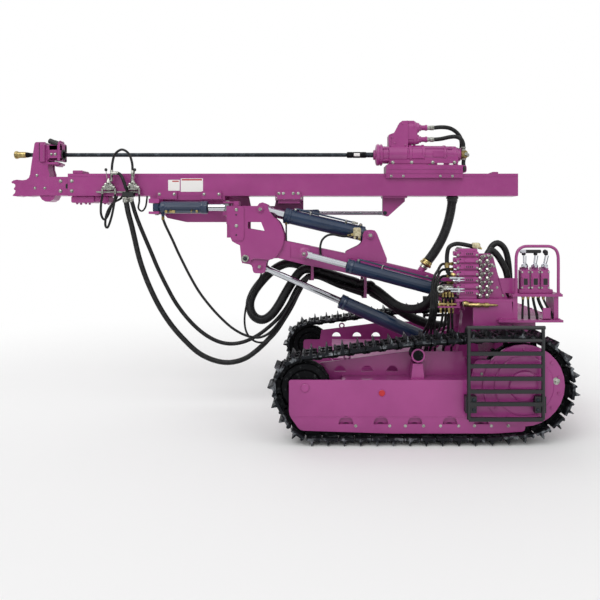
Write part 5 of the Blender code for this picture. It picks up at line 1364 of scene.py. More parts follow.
@dataclass
class Centralizer:
    """Front end of the feed: toothed jaw, column and the clamp box that guides the drill rod."""

    side_view: tuple[Flat, ...] = (
        (-2.639, 2.262), (-2.622, 2.278), (-2.585, 2.286), (-2.530, 2.280), (-2.490, 2.285), (-2.462, 2.305),
        (-2.450, 2.340), (-2.440, 2.420), (-2.405, 2.652), (-2.392, 2.668), (-2.300, 2.668), (-2.278, 2.600),
        (-2.270, 2.400), (-2.2543, 2.350), (-2.2543, 2.127), (-2.440, 2.124), (-2.500, 2.118), (-2.560, 2.126),
        (-2.600, 2.118), (-2.628, 2.122), (-2.618, 2.138), (-2.604, 2.150), (-2.598, 2.176), (-2.612, 2.184),
        (-2.614, 2.200), (-2.602, 2.212), (-2.600, 2.234), (-2.614, 2.246), (-2.634, 2.250))

    def build(self) -> None:
        """Builds the centralizer and hides its plain solid."""
        shape = Shape()
        for y0, y1 in ((0.115, 0.135), (0.265, 0.285)):
            shape.plate(self.side_view, y0, y1)
        shape.plate([(x + (0.012 if x < -2.4 else -0.006), z - 0.002) for x, z in self.side_view], 0.134, 0.266)
        shape.block((-2.352, 0.120, 2.482), (-2.245, 0.280, 2.640), 0.020)
        for x0, x1, edge in ((-2.260, -2.160, 0.006), (-2.178, -2.146, 0.0)):
            # Open round the rod, so that the coupling sleeve runs in
            shape.block((x0, 0.120, 2.482), (x1, 0.280, 2.508), edge)
            shape.block((x0, 0.120, 2.586), (x1, 0.280, 2.640), edge)
            shape.block((x0, 0.120, 2.484), (x1, 0.160, 2.638), edge)
            shape.block((x0, 0.240, 2.484), (x1, 0.280, 2.638), edge)
        shape.turned(
            (-2.318, 0.112, 2.466), (-2.318, 0.112, 3), [(0, 0.026), (0.004, 0.030), (0.176, 0.030), (0.182, 0.024)],
            20)
        shape.block((-2.177, 0.114, 2.478), (-2.147, 0.158, 2.660), 0.012)
        shape.block((-2.177, 0.242, 2.478), (-2.147, 0.286, 2.660), 0.012)
        shape.block((-2.177, 0.116, 2.588), (-2.147, 0.284, 2.668), 0.012)
        shape.block((-2.182, 0.160, 2.660), (-2.152, 0.240, 2.690), 0.010)
        shape.block((-2.345, 0.112, 2.440), (-2.165, 0.288, 2.466), 0.008)
        shape.plate([(-2.225, 2.466), (-2.150, 2.452), (-2.172, 2.424), (-2.210, 2.424)], 0.16, 0.24)
        shape.plate(
            [(-2.362, 2.1245), (-2.200, 2.1245), (-2.222, 2.084), (-2.258, 2.064), (-2.300, 2.064), (-2.336, 2.084)],
            0.130, 0.270)
        piece = shape.finish("rod_centralizer", "feed_beam", Coat.PAINT, 30.0)
        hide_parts("centralizer")
        roller = Shape()
        for y in (0.140, 0.260):
            roller.turned(
                (-2.268, y, 2.686), (-2.160, y, 2.642), [(0, 0.020), (0.006, 0.027), (0.108, 0.027), (0.114, 0.020)],
                20)
            y0, y1 = (y - 0.030, y - 0.016) if y < 0.2 else (y + 0.016, y + 0.030)
            roller.block((-2.3555, y0, 2.478), (-2.3505, y1, 2.655))
        roller.ring((-2.147, 0.200, 2.547), (1, 0, 0), 0.046, 0.011, 28, 8)
        roller.finish("clamp_rubbers", "feed_beam", Coat.GRIP_AND_SHADE)
        spots = [((x, 0.120, 2.545), (0, -1, 0)) for x in (-2.235, -2.195)]
        spots += [((x, 0.115, 2.20), (0, -1, 0)) for x in (-2.40, -2.30)] + [((-2.38, 0.115, 2.33), (0, -1, 0))]
        bolts("clamp_bolts", "feed_beam", spots, 0.022, 0.008)


@dataclass
class FrontValves:
    """Two hand valves on the beam's near side with their levers, fittings and short hoses."""

    centres: tuple[float, ...] = (-1.628, -1.386)
    y: float = 0.050

    def build(self) -> None:
        """Builds the valves, their rail, levers, knobs and hoses."""
        y = self.y
        metal, knobs, dark = Shape(), Shape(), Shape()
        metal.block((-1.760, 0.060, 2.150), (-1.340, 0.0945, 2.165), 0.003)
        for cx in self.centres:
            metal.plate(
                [
                    (cx - 0.050, 2.178), (cx + 0.050, 2.178), (cx + 0.056, 2.206), (cx + 0.030, 2.250),
                    (cx - 0.030, 2.250), (cx - 0.056, 2.206)],
                0.040, 0.0945)
            metal.turned(
                (cx, 0.0445, 2.214), (cx, -1, 2.214),
                [(0, 0.042), (0.006, 0.040), (0.016, 0.026), (0.022, 0.020), (0.030, 0.019)], 20)
            metal.turned(
                (cx - 0.066, y, 2.205), (cx, y, 2.205), [(0, 0.010), (0.004, 0.014), (0.128, 0.014), (0.132, 0.010)],
                12)
            metal.turned((cx, y, 2.246), (cx, y, 3), [(0, 0.026), (0.016, 0.024), (0.030, 0.016), (0.046, 0.010)], 18)
            for dx, dz, r in ((-0.024, 0.010, 0.017), (0.020, -0.012, 0.014), (0.026, 0.022, 0.010)):
                metal.turned(
                    (cx + dx, 0.036, 2.218 + dz), (cx + dx, 0, 2.218 + dz), [(0, r), (0.012, r), (0.015, r * 0.7)], 6)
            dark.turned((cx - 0.002, 0.0345, 2.246), (cx - 0.002, 0, 2.246), [(0, 0.006), (0.002, 0.006)], 10)
            for dx in (-0.064, 0.064):
                metal.turned(
                    (cx + dx, y, 2.192), (cx + dx, y, 0),
                    [
                        (0, 0.013), (0.018, 0.013), (0.020, 0.009), (0.034, 0.009), (0.036, 0.012), (0.056, 0.012),
                        (0.060, 0.008)],
                    8)
            lean = -0.024 if cx < -1.5 else 0.022
            metal.bar((cx + lean * 0.4, 0.040, 2.262), (cx + lean, 0.040, 2.372), 0.0045, 8)
            knobs.turned(
                (cx + lean, 0.040, 2.364), (cx + lean * 1.1, 0.040, 2.42),
                [(0, 0.006), (0.006, 0.013), (0.016, 0.015), (0.026, 0.012), (0.031, 0.005)], 16)
        left, right = self.centres
        for x0, x1 in ((left + 0.030, left + 0.034), (right - 0.004, right + 0.002)):
            metal.turned(
                (x0, 0.040, 2.262), (x1, 0.040, 2.40),
                [
                    (0, 0.014), (0.024, 0.014), (0.026, 0.0125), (0.060, 0.0125), (0.062, 0.0145), (0.110, 0.0145),
                    (0.114, 0.012)],
                12)
        metal.turned(
            (left + 0.036, 0.036, 2.345), (left + 1, 0.036, 2.345),
            [
                (0, 0.017), (0.020, 0.017), (0.022, 0.0165), (0.028, 0.0165), (0.030, 0.018), (0.064, 0.018),
                (0.068, 0.014)],
            12)
        piece = metal.finish("hand_valves", "feed_beam", Coat.ZINC)
        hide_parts("front_valves")
        knobs.finish("valve_knobs", "feed_beam", Coat.GRIP_AND_SHADE)
        dark.block((-1.490, 0.026, 2.1055), (-1.375, 0.0945, 2.156), 0.010)
        dark.finish("valve_vents", "feed_beam", Coat.GRIP_AND_SHADE)
        on = dict(body="feed_beam", sides=12)
        Hose(
            "hose_valve_arch",
            Route(0.012, (0, 0, 1), (0, 0, 1), (
                (-1.5945, 0.040, 2.300), (-1.5935, 0.040, 2.376), (-1.587, 0.040, 2.45), (-1.562, 0.040, 2.535),
                (-1.493, 0.040, 2.582), (-1.423, 0.040, 2.540), (-1.392, 0.040, 2.455), (-1.386, 0.040, 2.376))),
            **on).build()
        Hose(
            "hose_valve_feed",
            Route(0.016, (1, 0, 0), (0, 0, 1), (
                (-1.585, 0.036, 2.345), (-1.548, 0.036, 2.346), (-1.512, 0.032, 2.335), (-1.485, 0.026, 2.300),
                (-1.463, 0.018, 2.250), (-1.450, 0.020, 2.206), (-1.442, 0.044, 2.1565))),
            **on).build()
        Hose(
            "hose_valve_loop_a",
            Route(0.0115, (0, 0, -1), (0, 0, -1), (
                (-1.692, y, 2.131), (-1.706, y, 2.03), (-1.704, y, 1.930), (-1.672, 0.052, 1.878),
                (-1.634, 0.056, 1.930), (-1.606, 0.070, 2.020), (-1.578, 0.090, 2.080), (-1.566, 0.110, 2.119))),
            **on).build()
        Hose(
            "hose_valve_loop_b",
            Route(0.0115, (0, 0, -1), (0, 0, -1), (
                (-1.564, y, 2.131), (-1.570, 0.030, 2.02), (-1.592, 0.022, 1.900), (-1.628, 0.020, 1.800),
                (-1.652, 0.020, 1.830), (-1.640, 0.028, 1.940), (-1.590, 0.050, 2.040), (-1.530, 0.085, 2.085),
                (-1.515, 0.110, 2.119))),
            **on).build()
        Hose(
            "hose_valve_drop",
            Route(0.009, (0, 0, -1), (0, 0, -1), (
                (-1.322, y, 2.131), (-1.320, 0.046, 2.06), (-1.330, 0.050, 1.995), (-1.300, 0.066, 1.965),
                (-1.268, 0.085, 2.010), (-1.260, 0.110, 2.119))),
            **on).build()


@dataclass
class DrillString:
    """Drill rod with its bell-shaped bit, coupling sleeve and blank label."""

    y: float = 0.200
    z: float = 2.547
    rod: float = 0.0205

    def build(self) -> None:
        """Builds the drill string and hides its plain solid."""
        y, z = self.y, self.z
        rod = Shape()
        rod.turned((-2.505, y, z), (9, y, z), [(0, 0.018), (0.004, self.rod), (3.272, self.rod), (3.276, 0.018)], 24)
        rod.turned((0.960, y, z), (9, y, z), [(0, 0.020), (0.004, 0.026), (0.115, 0.026), (0.119, 0.024)], 24)
        piece = rod.finish("rod_steel", "drill_string", Coat.ROD)
        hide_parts("drill_rod")
        sleeve = Shape()
        sleeve.turned(
            (0.769, y, z), (9, y, z),
            [
                (0, 0.022), (0.005, 0.031), (0.055, 0.031), (0.058, 0.0295), (0.064, 0.0295), (0.067, 0.031),
                (0.138, 0.031), (0.141, 0.0295), (0.147, 0.0295), (0.150, 0.031), (0.195, 0.031), (0.200, 0.024)],
            28)
        sleeve.turned((-2.526, y, z), (9, y, z), [(0, 0.026), (0.010, 0.0275), (0.040, 0.021), (0.056, 0.0205)], 24)
        sleeve.finish("coupling_sleeve", "drill_string", Coat.LINK)
        label = Shape()
        arc = [math.radians(a) for a in range(-30, 31, 10)]
        rows = []
        for x in (0.842, 0.902):
            rows.append([Vector((x, y - r * math.cos(a), z + r * math.sin(a))) for r, way in ((0.0318, 1), (0.0308, -1))
                         for a in arc[::way]])
        label.rings(rows)
        label.finish("sleeve_label", "drill_string", Coat.PLATE)
        bit = Shape()
        bit.turned(
            (-2.6404, y, z), (9, y, z),
            [
                (0, 0.034), (0.003, 0.039), (0.010, 0.041), (0.022, 0.040), (0.034, 0.034), (0.044, 0.0315),
                (0.100, 0.0315), (0.112, 0.029), (0.116, 0.024)],
            28)
        bit.finish("button_bit", "drill_string", Coat.BRASS)
        studs = Shape()
        for k in range(7):
            a, r = math.tau * k / 6, 0.024 if k < 6 else 0.0
            at = Vector((-2.639, y + r * math.cos(a), z + r * math.sin(a)))
            studs.turned(
                at, at - Vector((1, 0, 0)), [(-0.004, 0.006), (0.0, 0.006), (0.0022, 0.004), (0.003, 0.0015)], 10)
        studs.finish("bit_buttons", "drill_string", Coat.ROD)


@dataclass
class Drifter:
    """Rock drill: chuck, ribbed body with tie rods, rotation motor with its hoses, and the sledge's bolts."""

    y: float = 0.200
    z: float = 2.547

    def build(self) -> None:
        """Builds the drifter's pieces."""
        self.body()
        self.motor()
        self.fittings()
        self.sledge()

    def body(self) -> None:
        """Builds the drill's casing and hides its plain solid."""
        y, z = self.y, self.z
        shape = Shape()
        shape.turned(
            (1.040, y, z), (9, y, z),
            [
                (0, 0.040), (0.004, 0.052), (0.022, 0.052), (0.024, 0.080), (0.030, 0.104), (0.038, 0.112),
                (0.056, 0.112), (0.060, 0.106), (0.070, 0.106), (0.074, 0.112), (0.088, 0.112), (0.094, 0.100),
                (0.100, 0.090), (0.160, 0.090)],
            32)
        shape.turned(
            (1.190, y, z), (9, y, z),
            [
                (0, 0.088), (0.008, 0.106), (0.190, 0.106), (0.196, 0.098), (0.206, 0.098), (0.212, 0.108),
                (0.236, 0.108), (0.242, 0.100), (0.340, 0.100), (0.346, 0.106), (0.366, 0.106), (0.372, 0.094),
                (0.560, 0.094), (0.566, 0.100), (0.586, 0.100), (0.592, 0.090), (0.690, 0.090), (0.700, 0.082),
                (0.744, 0.064)],
            16)
        for a in (40, 140, 220, 320):
            c = Vector((1.120, y + 0.094 * math.cos(math.radians(a)), z + 0.094 * math.sin(math.radians(a))))
            shape.bar(c, c + Vector((0.700, 0, 0)), 0.011, 10)
            for s in (0.0, 0.30, 0.70):
                shape.turned(
                    c + Vector((s, 0, 0)), c + Vector((9, 0, 0)), [(-0.014, 0.016), (0.012, 0.018), (0.016, 0.014)], 6)
        shape.block((1.200, 0.115, 2.4445), (1.900, 0.285, 2.530), 0.010)
        shape.block((1.380, 0.100, 2.500), (1.560, 0.125, 2.560), 0.008)
        shape.block((1.640, 0.104, 2.515), (1.760, 0.125, 2.580), 0.008)
        piece = shape.finish("rock_drill", "drifter", Coat.PAINT, 30.0)
        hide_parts("drifter_body")
        bolts("drill_bolts", "drifter", [((x, 0.115, 2.462), (0, -1, 0)) for x in (1.233, 1.425, 1.640, 1.860)]
              + [((x, 0.285, 2.462), (0, 1, 0)) for x in (1.233, 1.425, 1.640, 1.860)], 0.026, 0.010)

    def motor(self) -> None:
        """Builds the rotation motor with its gear case, and hides its plain solid."""
        y = self.y
        shape = Shape()
        case = [
            (1.193, 2.590), (1.193, 2.742), (1.205, 2.756), (1.240, 2.768), (1.262, 2.800), (1.296, 2.868),
            (1.325, 2.890), (1.385, 2.893), (1.385, 2.590)]
        shape.plate([(x + 0.006, z - 0.004) for x, z in case], 0.128, 0.272)
        shape.plate([(1.193, 2.630), (1.193, 2.742), (1.215, 2.752), (1.215, 2.630)], 0.120, 0.280)
        for z, r in ((2.826, 0.060), (2.706, 0.056)):
            shape.turned(
                (1.360, y, z), (9, y, z),
                [
                    (0, r + 0.010), (0.020, r + 0.010), (0.024, r), (0.090, r), (0.094, r + 0.006), (0.112, r + 0.006),
                    (0.118, r - 0.004), (0.150, r - 0.010), (0.156, r - 0.024)],
                24)
            shape.turned(
                (1.510, y, z), (9, y, z),
                [(0, 0.034), (0.022, 0.034), (0.024, 0.026), (0.060, 0.026), (0.064, 0.031), (0.084, 0.031)], 12)
        shape.block((1.350, 0.138, 2.690), (1.490, 0.262, 2.840), 0.016)
        shape.block((1.385, 0.152, 2.845), (1.465, 0.248, 2.893), 0.010)
        shape.turned((1.440, y, 2.885), (1.440, y, 9), [(0, 0.018), (0.010, 0.018), (0.013, 0.012)], 12)
        piece = shape.finish("rotation_motor_case", "drifter", Coat.PAINT, 30.0)
        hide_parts("rotation_motor")
        case_bolts = [
            ((x, 0.128, z), (0, -1, 0)) for x, z in ((1.225, 2.72), (1.255, 2.66), (1.33, 2.86), (1.365, 2.64))]
        case_bolts += [
            ((x, 0.272, z), (0, 1, 0)) for x, z in ((1.225, 2.72), (1.255, 2.66), (1.33, 2.86), (1.365, 2.64))]
        bolts("motor_bolts", "drifter", case_bolts, 0.020, 0.008, Coat.PAINT)
        ends = Shape()
        for z in (2.826, 2.706):
            ends.turned(
                (1.592, y, z), (9, y, z),
                [
                    (0, 0.024), (0.016, 0.024), (0.018, 0.0222), (0.030, 0.0222), (0.034, 0.026), (0.070, 0.026),
                    (0.074, 0.022)],
                16)
        ends.finish("motor_ferrules", "drifter", Coat.ZINC)
        on = dict(body="drifter", sides=14)
        Hose(
            "hose_motor_high",
            Route(0.021, (1, 0, 0), (0, 0, 1), (
                (1.600, y, 2.826), (1.667, y, 2.827), (1.740, y, 2.833), (1.820, 0.205, 2.826), (1.885, 0.213, 2.796),
                (1.935, 0.224, 2.745), (1.957, 0.235, 2.690), (1.958, 0.238, 2.600))),
            **on).build()
        Hose(
            "hose_motor_low",
            Route(0.021, (1, 0, 0), (0, 0, 1), (
                (1.600, y, 2.706), (1.667, y, 2.706), (1.740, 0.194, 2.712), (1.820, 0.182, 2.728),
                (1.885, 0.168, 2.730), (1.935, 0.158, 2.705), (1.956, 0.155, 2.660), (1.958, 0.155, 2.600))),
            **on).build()

    def fittings(self) -> None:
        """Builds the fittings behind the drill and the hose down to the sledge."""
        brass, zinc = Shape(), Shape()
        brass.turned(
            (1.925, 0.200, 2.547), (9, 0.200, 2.547), [(0, 0.060), (0.010, 0.060), (0.012, 0.046), (0.024, 0.046)], 24)
        brass.block((1.935, 0.125, 2.505), (1.998, 0.268, 2.586), 0.014)
        for x, y in ((1.958, 0.238), (1.958, 0.155)):
            zinc.turned(
                (x, y, 2.582), (x, y, 9),
                [(0, 0.024), (0.014, 0.024), (0.016, 0.020), (0.022, 0.020), (0.026, 0.025), (0.040, 0.025)], 12)
        zinc.turned((1.980, 0.128, 2.545), (1.980, 0, 2.545), [(0, 0.020), (0.018, 0.020), (0.022, 0.015)], 6)
        zinc.turned((2.006, 0.200, 2.545), (9, 0.200, 2.545), [(0, 0.020), (0.018, 0.020), (0.022, 0.014)], 6)
        zinc.turned((1.965, 0.168, 2.508), (1.955, 0.168, 2.30), [(0, 0.024), (0.016, 0.024), (0.020, 0.020)], 12)
        brass.finish("drill_manifold", "drifter", Coat.BRASS)
        zinc.finish("drill_unions", "drifter", Coat.ZINC)
        Hose(
            "hose_drill_down",
            Route(0.020, (-0.05, 0, -1), (1, 0, 0.15), (
                (1.964, 0.168, 2.487), (1.962, 0.168, 2.455), (1.966, 0.160, 2.425), (1.972, 0.150, 2.398),
                (1.960, 0.140, 2.378), (1.9345, 0.135, 2.372))),
            body="drifter", sides=14).build()

    def sledge(self) -> None:
        """Adds the sledge's bolts, strips, stops and wire bracket."""
        n, far = (0, -1, 0), (0, 1, 0)
        row = [((x, 0.065, 2.318), n) for x in (1.212, 1.334, 1.708, 1.829)]
        row += [((x, 0.335, 2.318), far) for x in (1.212, 1.334, 1.708, 1.829)]
        row += [((x, 0.090, 2.430), (0, 0, 1)) for x in (1.190, 1.303, 1.600)]
        bolts("sledge_bolts", "drifter", row, 0.022, 0.009)
        strips = Shape()
        for y0, y1 in ((0.061, 0.065), (0.335, 0.339)):
            strips.block((1.166, y0, 2.344), (1.930, y1, 2.354))
            strips.block((1.180, y0, 2.386), (1.916, y1, 2.396))
        strips.block((1.176, 0.075, 2.430), (1.560, 0.110, 2.441), 0.003)
        strips.hose(
            smooth_path(
                [
                    (1.934, 0.080, 2.420), (1.965, 0.080, 2.424), (1.972, 0.080, 2.395), (1.966, 0.080, 2.362),
                    (1.934, 0.080, 2.358)],
                0.01),
            0.004, 8)
        strips.finish("sledge_strips", "drifter", Coat.PAINT)
        stops = Shape()
        stops.block((1.680, 0.078, 2.430), (1.742, 0.112, 2.452), 0.004)
        stops.block((1.800, 0.078, 2.430), (1.838, 0.112, 2.448), 0.004)
        stops.finish("sledge_stops", "drifter", Coat.PLATE)


# ---------------------------------------------------------------------------------------------------------------------
# Controls
# ---------------------------------------------------------------------------------------------------------------------
@dataclass
class Console:
    """Operator's controls on the left of the rear deck: valve stack, fitting panel, levers, hoop and their hoses."""

    y: float = -0.620
    plate_z: float = 1.165
    sections: int = 7
    pitch: float = 0.057
    fitting_columns: tuple[float, ...] = (1.942, 2.008)

    def build(self) -> None:
        """Builds the controls."""
        self.stack()
        self.panel()
        self.levers()
        self.hoop()
        self.hoses()

    def stack(self) -> None:
        """Builds the valve stack with its bolts, spools and elbow and black sheets of painted shade in its recesses,
        and hides its plain solid.
        """
        y = self.y
        shape, dark, zinc, chrome = Shape(), Shape(), Shape(), Shape()
        shape.block((1.735, y - 0.060, self.plate_z + 0.0003), (1.890, y + 0.060, 1.600), 0.004)
        shape.block((1.722, y - 0.072, 1.584), (1.896, y + 0.072, 1.610), 0.008)
        for i in range(self.sections):
            z = self.plate_z + 0.0353 + self.pitch * i
            shape.block((1.705, y - 0.080, z), (1.903, y + 0.080, z + 0.044), 0.007)
            shape.block((1.776, y - 0.086, z + 0.006), (1.866, y - 0.078, z + 0.038), 0.003)
            shape.turned(
                (1.707, y - 0.030, z + 0.022), (0, y - 0.030, z + 0.022), [(0, 0.019), (0.016, 0.019), (0.020, 0.015)],
                16)
            shape.turned(
                (1.901, y + 0.030, z + 0.022), (9, y + 0.030, z + 0.022), [(0, 0.018), (0.014, 0.018), (0.018, 0.013)],
                16)
            if i % 2 == 0:
                # Black sheet on every other section: painted shade of its recess, with three paint-coloured bars across
                # it
                dark.block((1.792, y - 0.0875, z + 0.013), (1.850, y - 0.0855, z + 0.031))
                for k in range(3):
                    shape.block((1.800 + 0.016 * k, y - 0.0885, z + 0.015), (1.808 + 0.016 * k, y - 0.0870, z + 0.029))
            for x in (1.722, 1.888):
                zinc.hexagon((x, y - 0.080, z + 0.012), (0, -1, 0), 0.016, 0.007)
                zinc.hexagon((x, y + 0.080, z + 0.012), (0, 1, 0), 0.016, 0.007)
            dark.turned((1.740, y - 0.079, z + 0.030), (1.740, -9, z + 0.030), [(0, 0.006), (0.003, 0.006)], 10)
        for x in (1.745, 1.880):
            for dy in (-0.055, 0.055):
                zinc.hexagon((x, y + dy, 1.610), (0, 0, 1), 0.022, 0.012)
        for z, x, r in ((1.352, 1.640, 0.013), (1.330, 1.668, 0.009), (1.256, 1.615, 0.013), (1.234, 1.650, 0.010)):
            chrome.turned(
                (x, y - 0.102, z), (9, y - 0.102, z - 0.02),
                [(0, r * 0.7), (0.004, r), (0.060, r), (0.064, r * 0.7), (1.745 - x, r * 0.7), (1.775 - x, r * 0.2)],
                14)
        for z in (1.341, 1.245):
            chrome.block((1.712, y - 0.116, z - 0.020), (1.734, y - 0.080, z + 0.020), 0.004)
        zinc.ring((1.568, y - 0.066, 1.248), (0, 1, 0), 0.026, 0.013, 24, 10)
        zinc.turned(
            (1.592, y - 0.066, 1.252), (9, y - 0.066, 1.252),
            [(0, 0.022), (0.030, 0.022), (0.034, 0.015), (0.12, 0.015)], 16)
        zinc.turned(
            (1.577, y - 0.0005, 1.2355), (1.616, y - 0.018, 1.2615), [(0, 0.038), (0.016, 0.042), (0.030, 0.038)], 20)
        zinc.turned((1.600, y - 0.010, 1.252), (9, y - 0.010, 1.252), [(0, 0.030), (0.014, 0.035), (0.110, 0.035)], 20)
        piece = shape.finish("valve_stack", "chassis", Coat.PAINT, 30.0)
        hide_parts("valve_bank")
        # The black sheets in this piece are painted shade of the recesses
        dark.finish("stack_recesses", "chassis", Coat.GRIP_AND_SHADE)
        zinc.finish("stack_fittings", "chassis", Coat.ZINC)
        chrome.finish("stack_spools", "chassis", Coat.CHROME)
        shelf = Shape()
        shelf.block((1.540, y - 0.095, 1.090), (1.735, y - 0.045, 1.102), 0.002)
        shelf.block((1.708, y - 0.085, 1.102), (1.735, y - 0.045, 1.1448), 0.004)
        shelf.finish("stack_shelf", "chassis", Coat.PAINT)
        brass = Shape()
        for x, r, h in ((1.560, 0.014, 0.048), (1.598, 0.010, 0.062), (1.634, 0.016, 0.040), (1.668, 0.010, 0.058)):
            brass.turned(
                (x, y - 0.070, 1.101), (x, y - 0.070, 9), [(0, r), (h * 0.4, r), (h * 0.45, r * 0.7), (h, r * 0.7)], 6)
            brass.turned(
                (x + 0.010, y - 0.070, 1.091), (x + 0.010, y - 0.070, 0),
                [(0, r), (0.020, r), (0.024, r * 0.7), (0.050, r * 0.7)], 6)
        brass.turned(
            (1.545, y - 0.070, 1.118), (9, y - 0.070, 1.118),
            [(0, 0.010), (0.030, 0.016), (0.060, 0.012), (0.165, 0.012)], 12)
        for x, dy in ((1.600, -0.016), (1.630, -0.010), (1.660, -0.016), (1.690, -0.010)):
            brass.turned(
                (x, y + dy, 1.224), (x, y + dy, 0), [(0, 0.017), (0.022, 0.017), (0.026, 0.0145), (0.048, 0.0145)], 6)
        gauge = Shape()
        gauge.block((1.852, y - 0.070, 1.6105), (1.922, y - 0.006, 1.662), 0.012)
        gauge.turned((1.886, y - 0.068, 1.636), (1.886, -9, 1.636), [(0, 0.022), (0.010, 0.022), (0.012, 0.018)], 20)
        gauge.finish("pilot_block", "chassis", Coat.BEIGE)
        brass.turned(
            (1.905, y - 0.035, 1.625), (1.945, y - 0.035, 1.605),
            [(0, 0.014), (0.022, 0.014), (0.026, 0.009), (0.040, 0.009)], 8)
        for z in (1.30, 1.36, 1.42, 1.47):
            brass.turned(
                (1.704, y + 0.035, z), (0, y + 0.035, z),
                [(0, 0.018), (0.018, 0.018), (0.020, 0.0145), (0.046, 0.0145), (0.048, 0.0165), (0.070, 0.0165)], 6)
        brass.finish("stack_brass", "chassis", Coat.BRASS)

    def panel(self) -> None:
        """Builds the fitting panel with its two columns of fittings, and hides its plain solid."""
        y = self.y
        shape = Shape()
        shape.plate(
            [
                (1.910, 1.552), (1.918, 1.565), (2.022, 1.565), (2.050, 1.540), (2.095, 1.370),
                (2.180, self.plate_z + 0.0003), (1.910, self.plate_z + 0.0003)],
            y - 0.006, y + 0.006)
        shape.plate(
            [(1.848, 1.1448), (2.186, 1.1448), (2.206, 0.9905), (2.200, 0.930), (1.848, 0.930)], y - 0.106, y - 0.094)
        shape.plate(
            [(2.098, 1.345), (2.268, 1.345), (2.268, 1.2125), (2.150, 1.2125), (2.150, 1.190), (2.140, 1.190)],
            y - 0.020, y - 0.010)
        shape.block((1.904, y - 0.005, self.plate_z + 0.0003), (1.911, y + 0.060, 1.545))
        piece = shape.finish("fitting_plate", "chassis", Coat.PAINT, 30.0)
        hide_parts("fitting_panel")
        unit = Shape()
        unit.turned(
            (0, 0, 0), (0, 0, 1),
            [
                (0, 0.021), (0.012, 0.021), (0.014, 0.014), (0.020, 0.014), (0.022, 0.018), (0.036, 0.018),
                (0.040, 0.013), (0.054, 0.013), (0.057, 0.009)],
            6)
        unit.turned((0, 0, -0.052), (0, 0, 1), [(0, 0.012), (0.030, 0.012), (0.032, 0.017), (0.046, 0.017)], 6)
        places = [((x + (0.008 if k % 2 else -0.010), y - 0.006, 1.182 + 0.0385 * k),
                   facing((0.25 if k % 2 else -0.3, -1, 0.35)))
                  for x in self.fitting_columns for k in range(10)]
        Repeat("panel_fittings", unit_object(unit, "panel_fitting_unit"), places).build("chassis", Coat.ZINC)
        nozzle = Shape()
        nozzle.turned(
            (1.800, y - 0.124, 1.118), (9, y - 0.124, 1.060),
            [
                (0, 0.014), (0.010, 0.020), (0.070, 0.020), (0.076, 0.024), (0.100, 0.024), (0.104, 0.017),
                (0.140, 0.017), (0.144, 0.022), (0.176, 0.022), (0.180, 0.012), (0.235, 0.010), (0.262, 0.004)],
            14)
        nozzle.turned(
            (1.760, y - 0.110, 1.126), (9, y - 0.124, 1.118),
            [(0, 0.024), (0.018, 0.030), (0.040, 0.024), (0.050, 0.018)], 12)
        nozzle.turned((1.920, y - 0.104, 1.116), (1.920, -9, 1.116), [(0, 0.012), (0.020, 0.012)], 10)
        nozzle.turned((1.774, y - 0.100, 1.128), (1.774, y, 1.148), [(0, 0.014), (0.040, 0.014)], 8)
        nozzle.finish("air_nozzle", "chassis", Coat.BRASS)
        seats = ((2.000, 1.548), (2.060, 1.450), (2.085, 1.260), (2.140, 1.190))
        bolts("panel_bolts", "chassis", [((x, y - 0.006, z), (0, -1, 0)) for x, z in seats], 0.018, 0.008)

    def levers(self) -> None:
        """Builds the three lever valves with rods and handles, and hides their plain solid."""
        y, base = self.y, 1.2123
        shape, rods, grips, dark = Shape(), Shape(), Shape(), Shape()
        shape.block((2.270, y - 0.050, base), (2.570, y + 0.050, base + 0.035), 0.005)
        for i, (x0, x1) in enumerate(((2.290, 2.365), (2.378, 2.455), (2.465, 2.542))):
            mid = (x0 + x1) / 2
            shape.block((x0, y - 0.045, base + 0.030), (x1, y + 0.045, 1.420), 0.008)
            shape.block((x0 + 0.008, y - 0.038, 1.415), (x1 - 0.008, y + 0.038, 1.442), 0.006)
            shape.block((x0 + 0.010, y - 0.050, base + 0.060), (x1 - 0.010, y - 0.043, base + 0.150), 0.003)
            dark.block((x0 + 0.020, y - 0.0515, base + 0.075), (x1 - 0.020, y - 0.0495, base + 0.132))
            rods.turned(
                (mid, y, 1.438), (mid + 0.004, y, 9),
                [(0, 0.022), (0.008, 0.022), (0.012, 0.015), (0.030, 0.012), (0.034, 0.008)], 16)
            lean = (-0.006, 0.012, 0.020)[i]
            rods.bar((mid, y, 1.455), (mid + lean, y - 0.012, 1.565), 0.0075, 12)
            rods.bar((mid + 0.022, y + 0.016, 1.435), (mid + 0.030 + lean, y + 0.014, 1.545), 0.0050, 10)
            rods.turned(
                (mid - 0.004, y - 0.030, 1.452), (mid - 0.004, -9, 1.46),
                [(0, 0.030), (0.014, 0.028), (0.024, 0.018), (0.034, 0.010)], 16)
            grips.turned(
                (mid + lean * 0.9, y - 0.011, 1.548), (mid + lean, y - 0.013, 2),
                [(0, 0.010), (0.006, 0.017), (0.030, 0.018), (0.042, 0.014), (0.047, 0.006)], 18)
        grips.turned(
            (2.330, y - 0.030, 1.584), (2.470, y - 0.030, 1.584),
            [(0, 0.010), (0.006, 0.016), (0.134, 0.016), (0.140, 0.010)], 16)
        grips.turned(
            (2.520, y + 0.010, 1.560), (2.524, y + 0.010, 2),
            [(0, 0.008), (0.008, 0.019), (0.022, 0.021), (0.034, 0.015), (0.040, 0.005)], 18)
        rods.turned(
            (2.322, y - 0.030, 1.584), (0, y - 0.030, 1.584), [(-0.010, 0.018), (0.030, 0.018), (0.040, 0.010)], 12)
        piece = shape.finish("lever_valves", "chassis", Coat.PAINT, 30.0)
        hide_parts("lever_bank")
        rods.finish("lever_rods", "chassis", Coat.CHROME)
        grips.finish("lever_grips", "chassis", Coat.GRIP_AND_SHADE)
        dark.finish("lever_labels", "chassis", Coat.GRIP_AND_SHADE)
        spots = [
            ((x, y - 0.045, z), (0, -1, 0)) for x in (2.298, 2.357, 2.386, 2.447, 2.473, 2.534) for z in (1.262, 1.400)]
        bolts("lever_bolts", "chassis", spots, 0.014, 0.006)

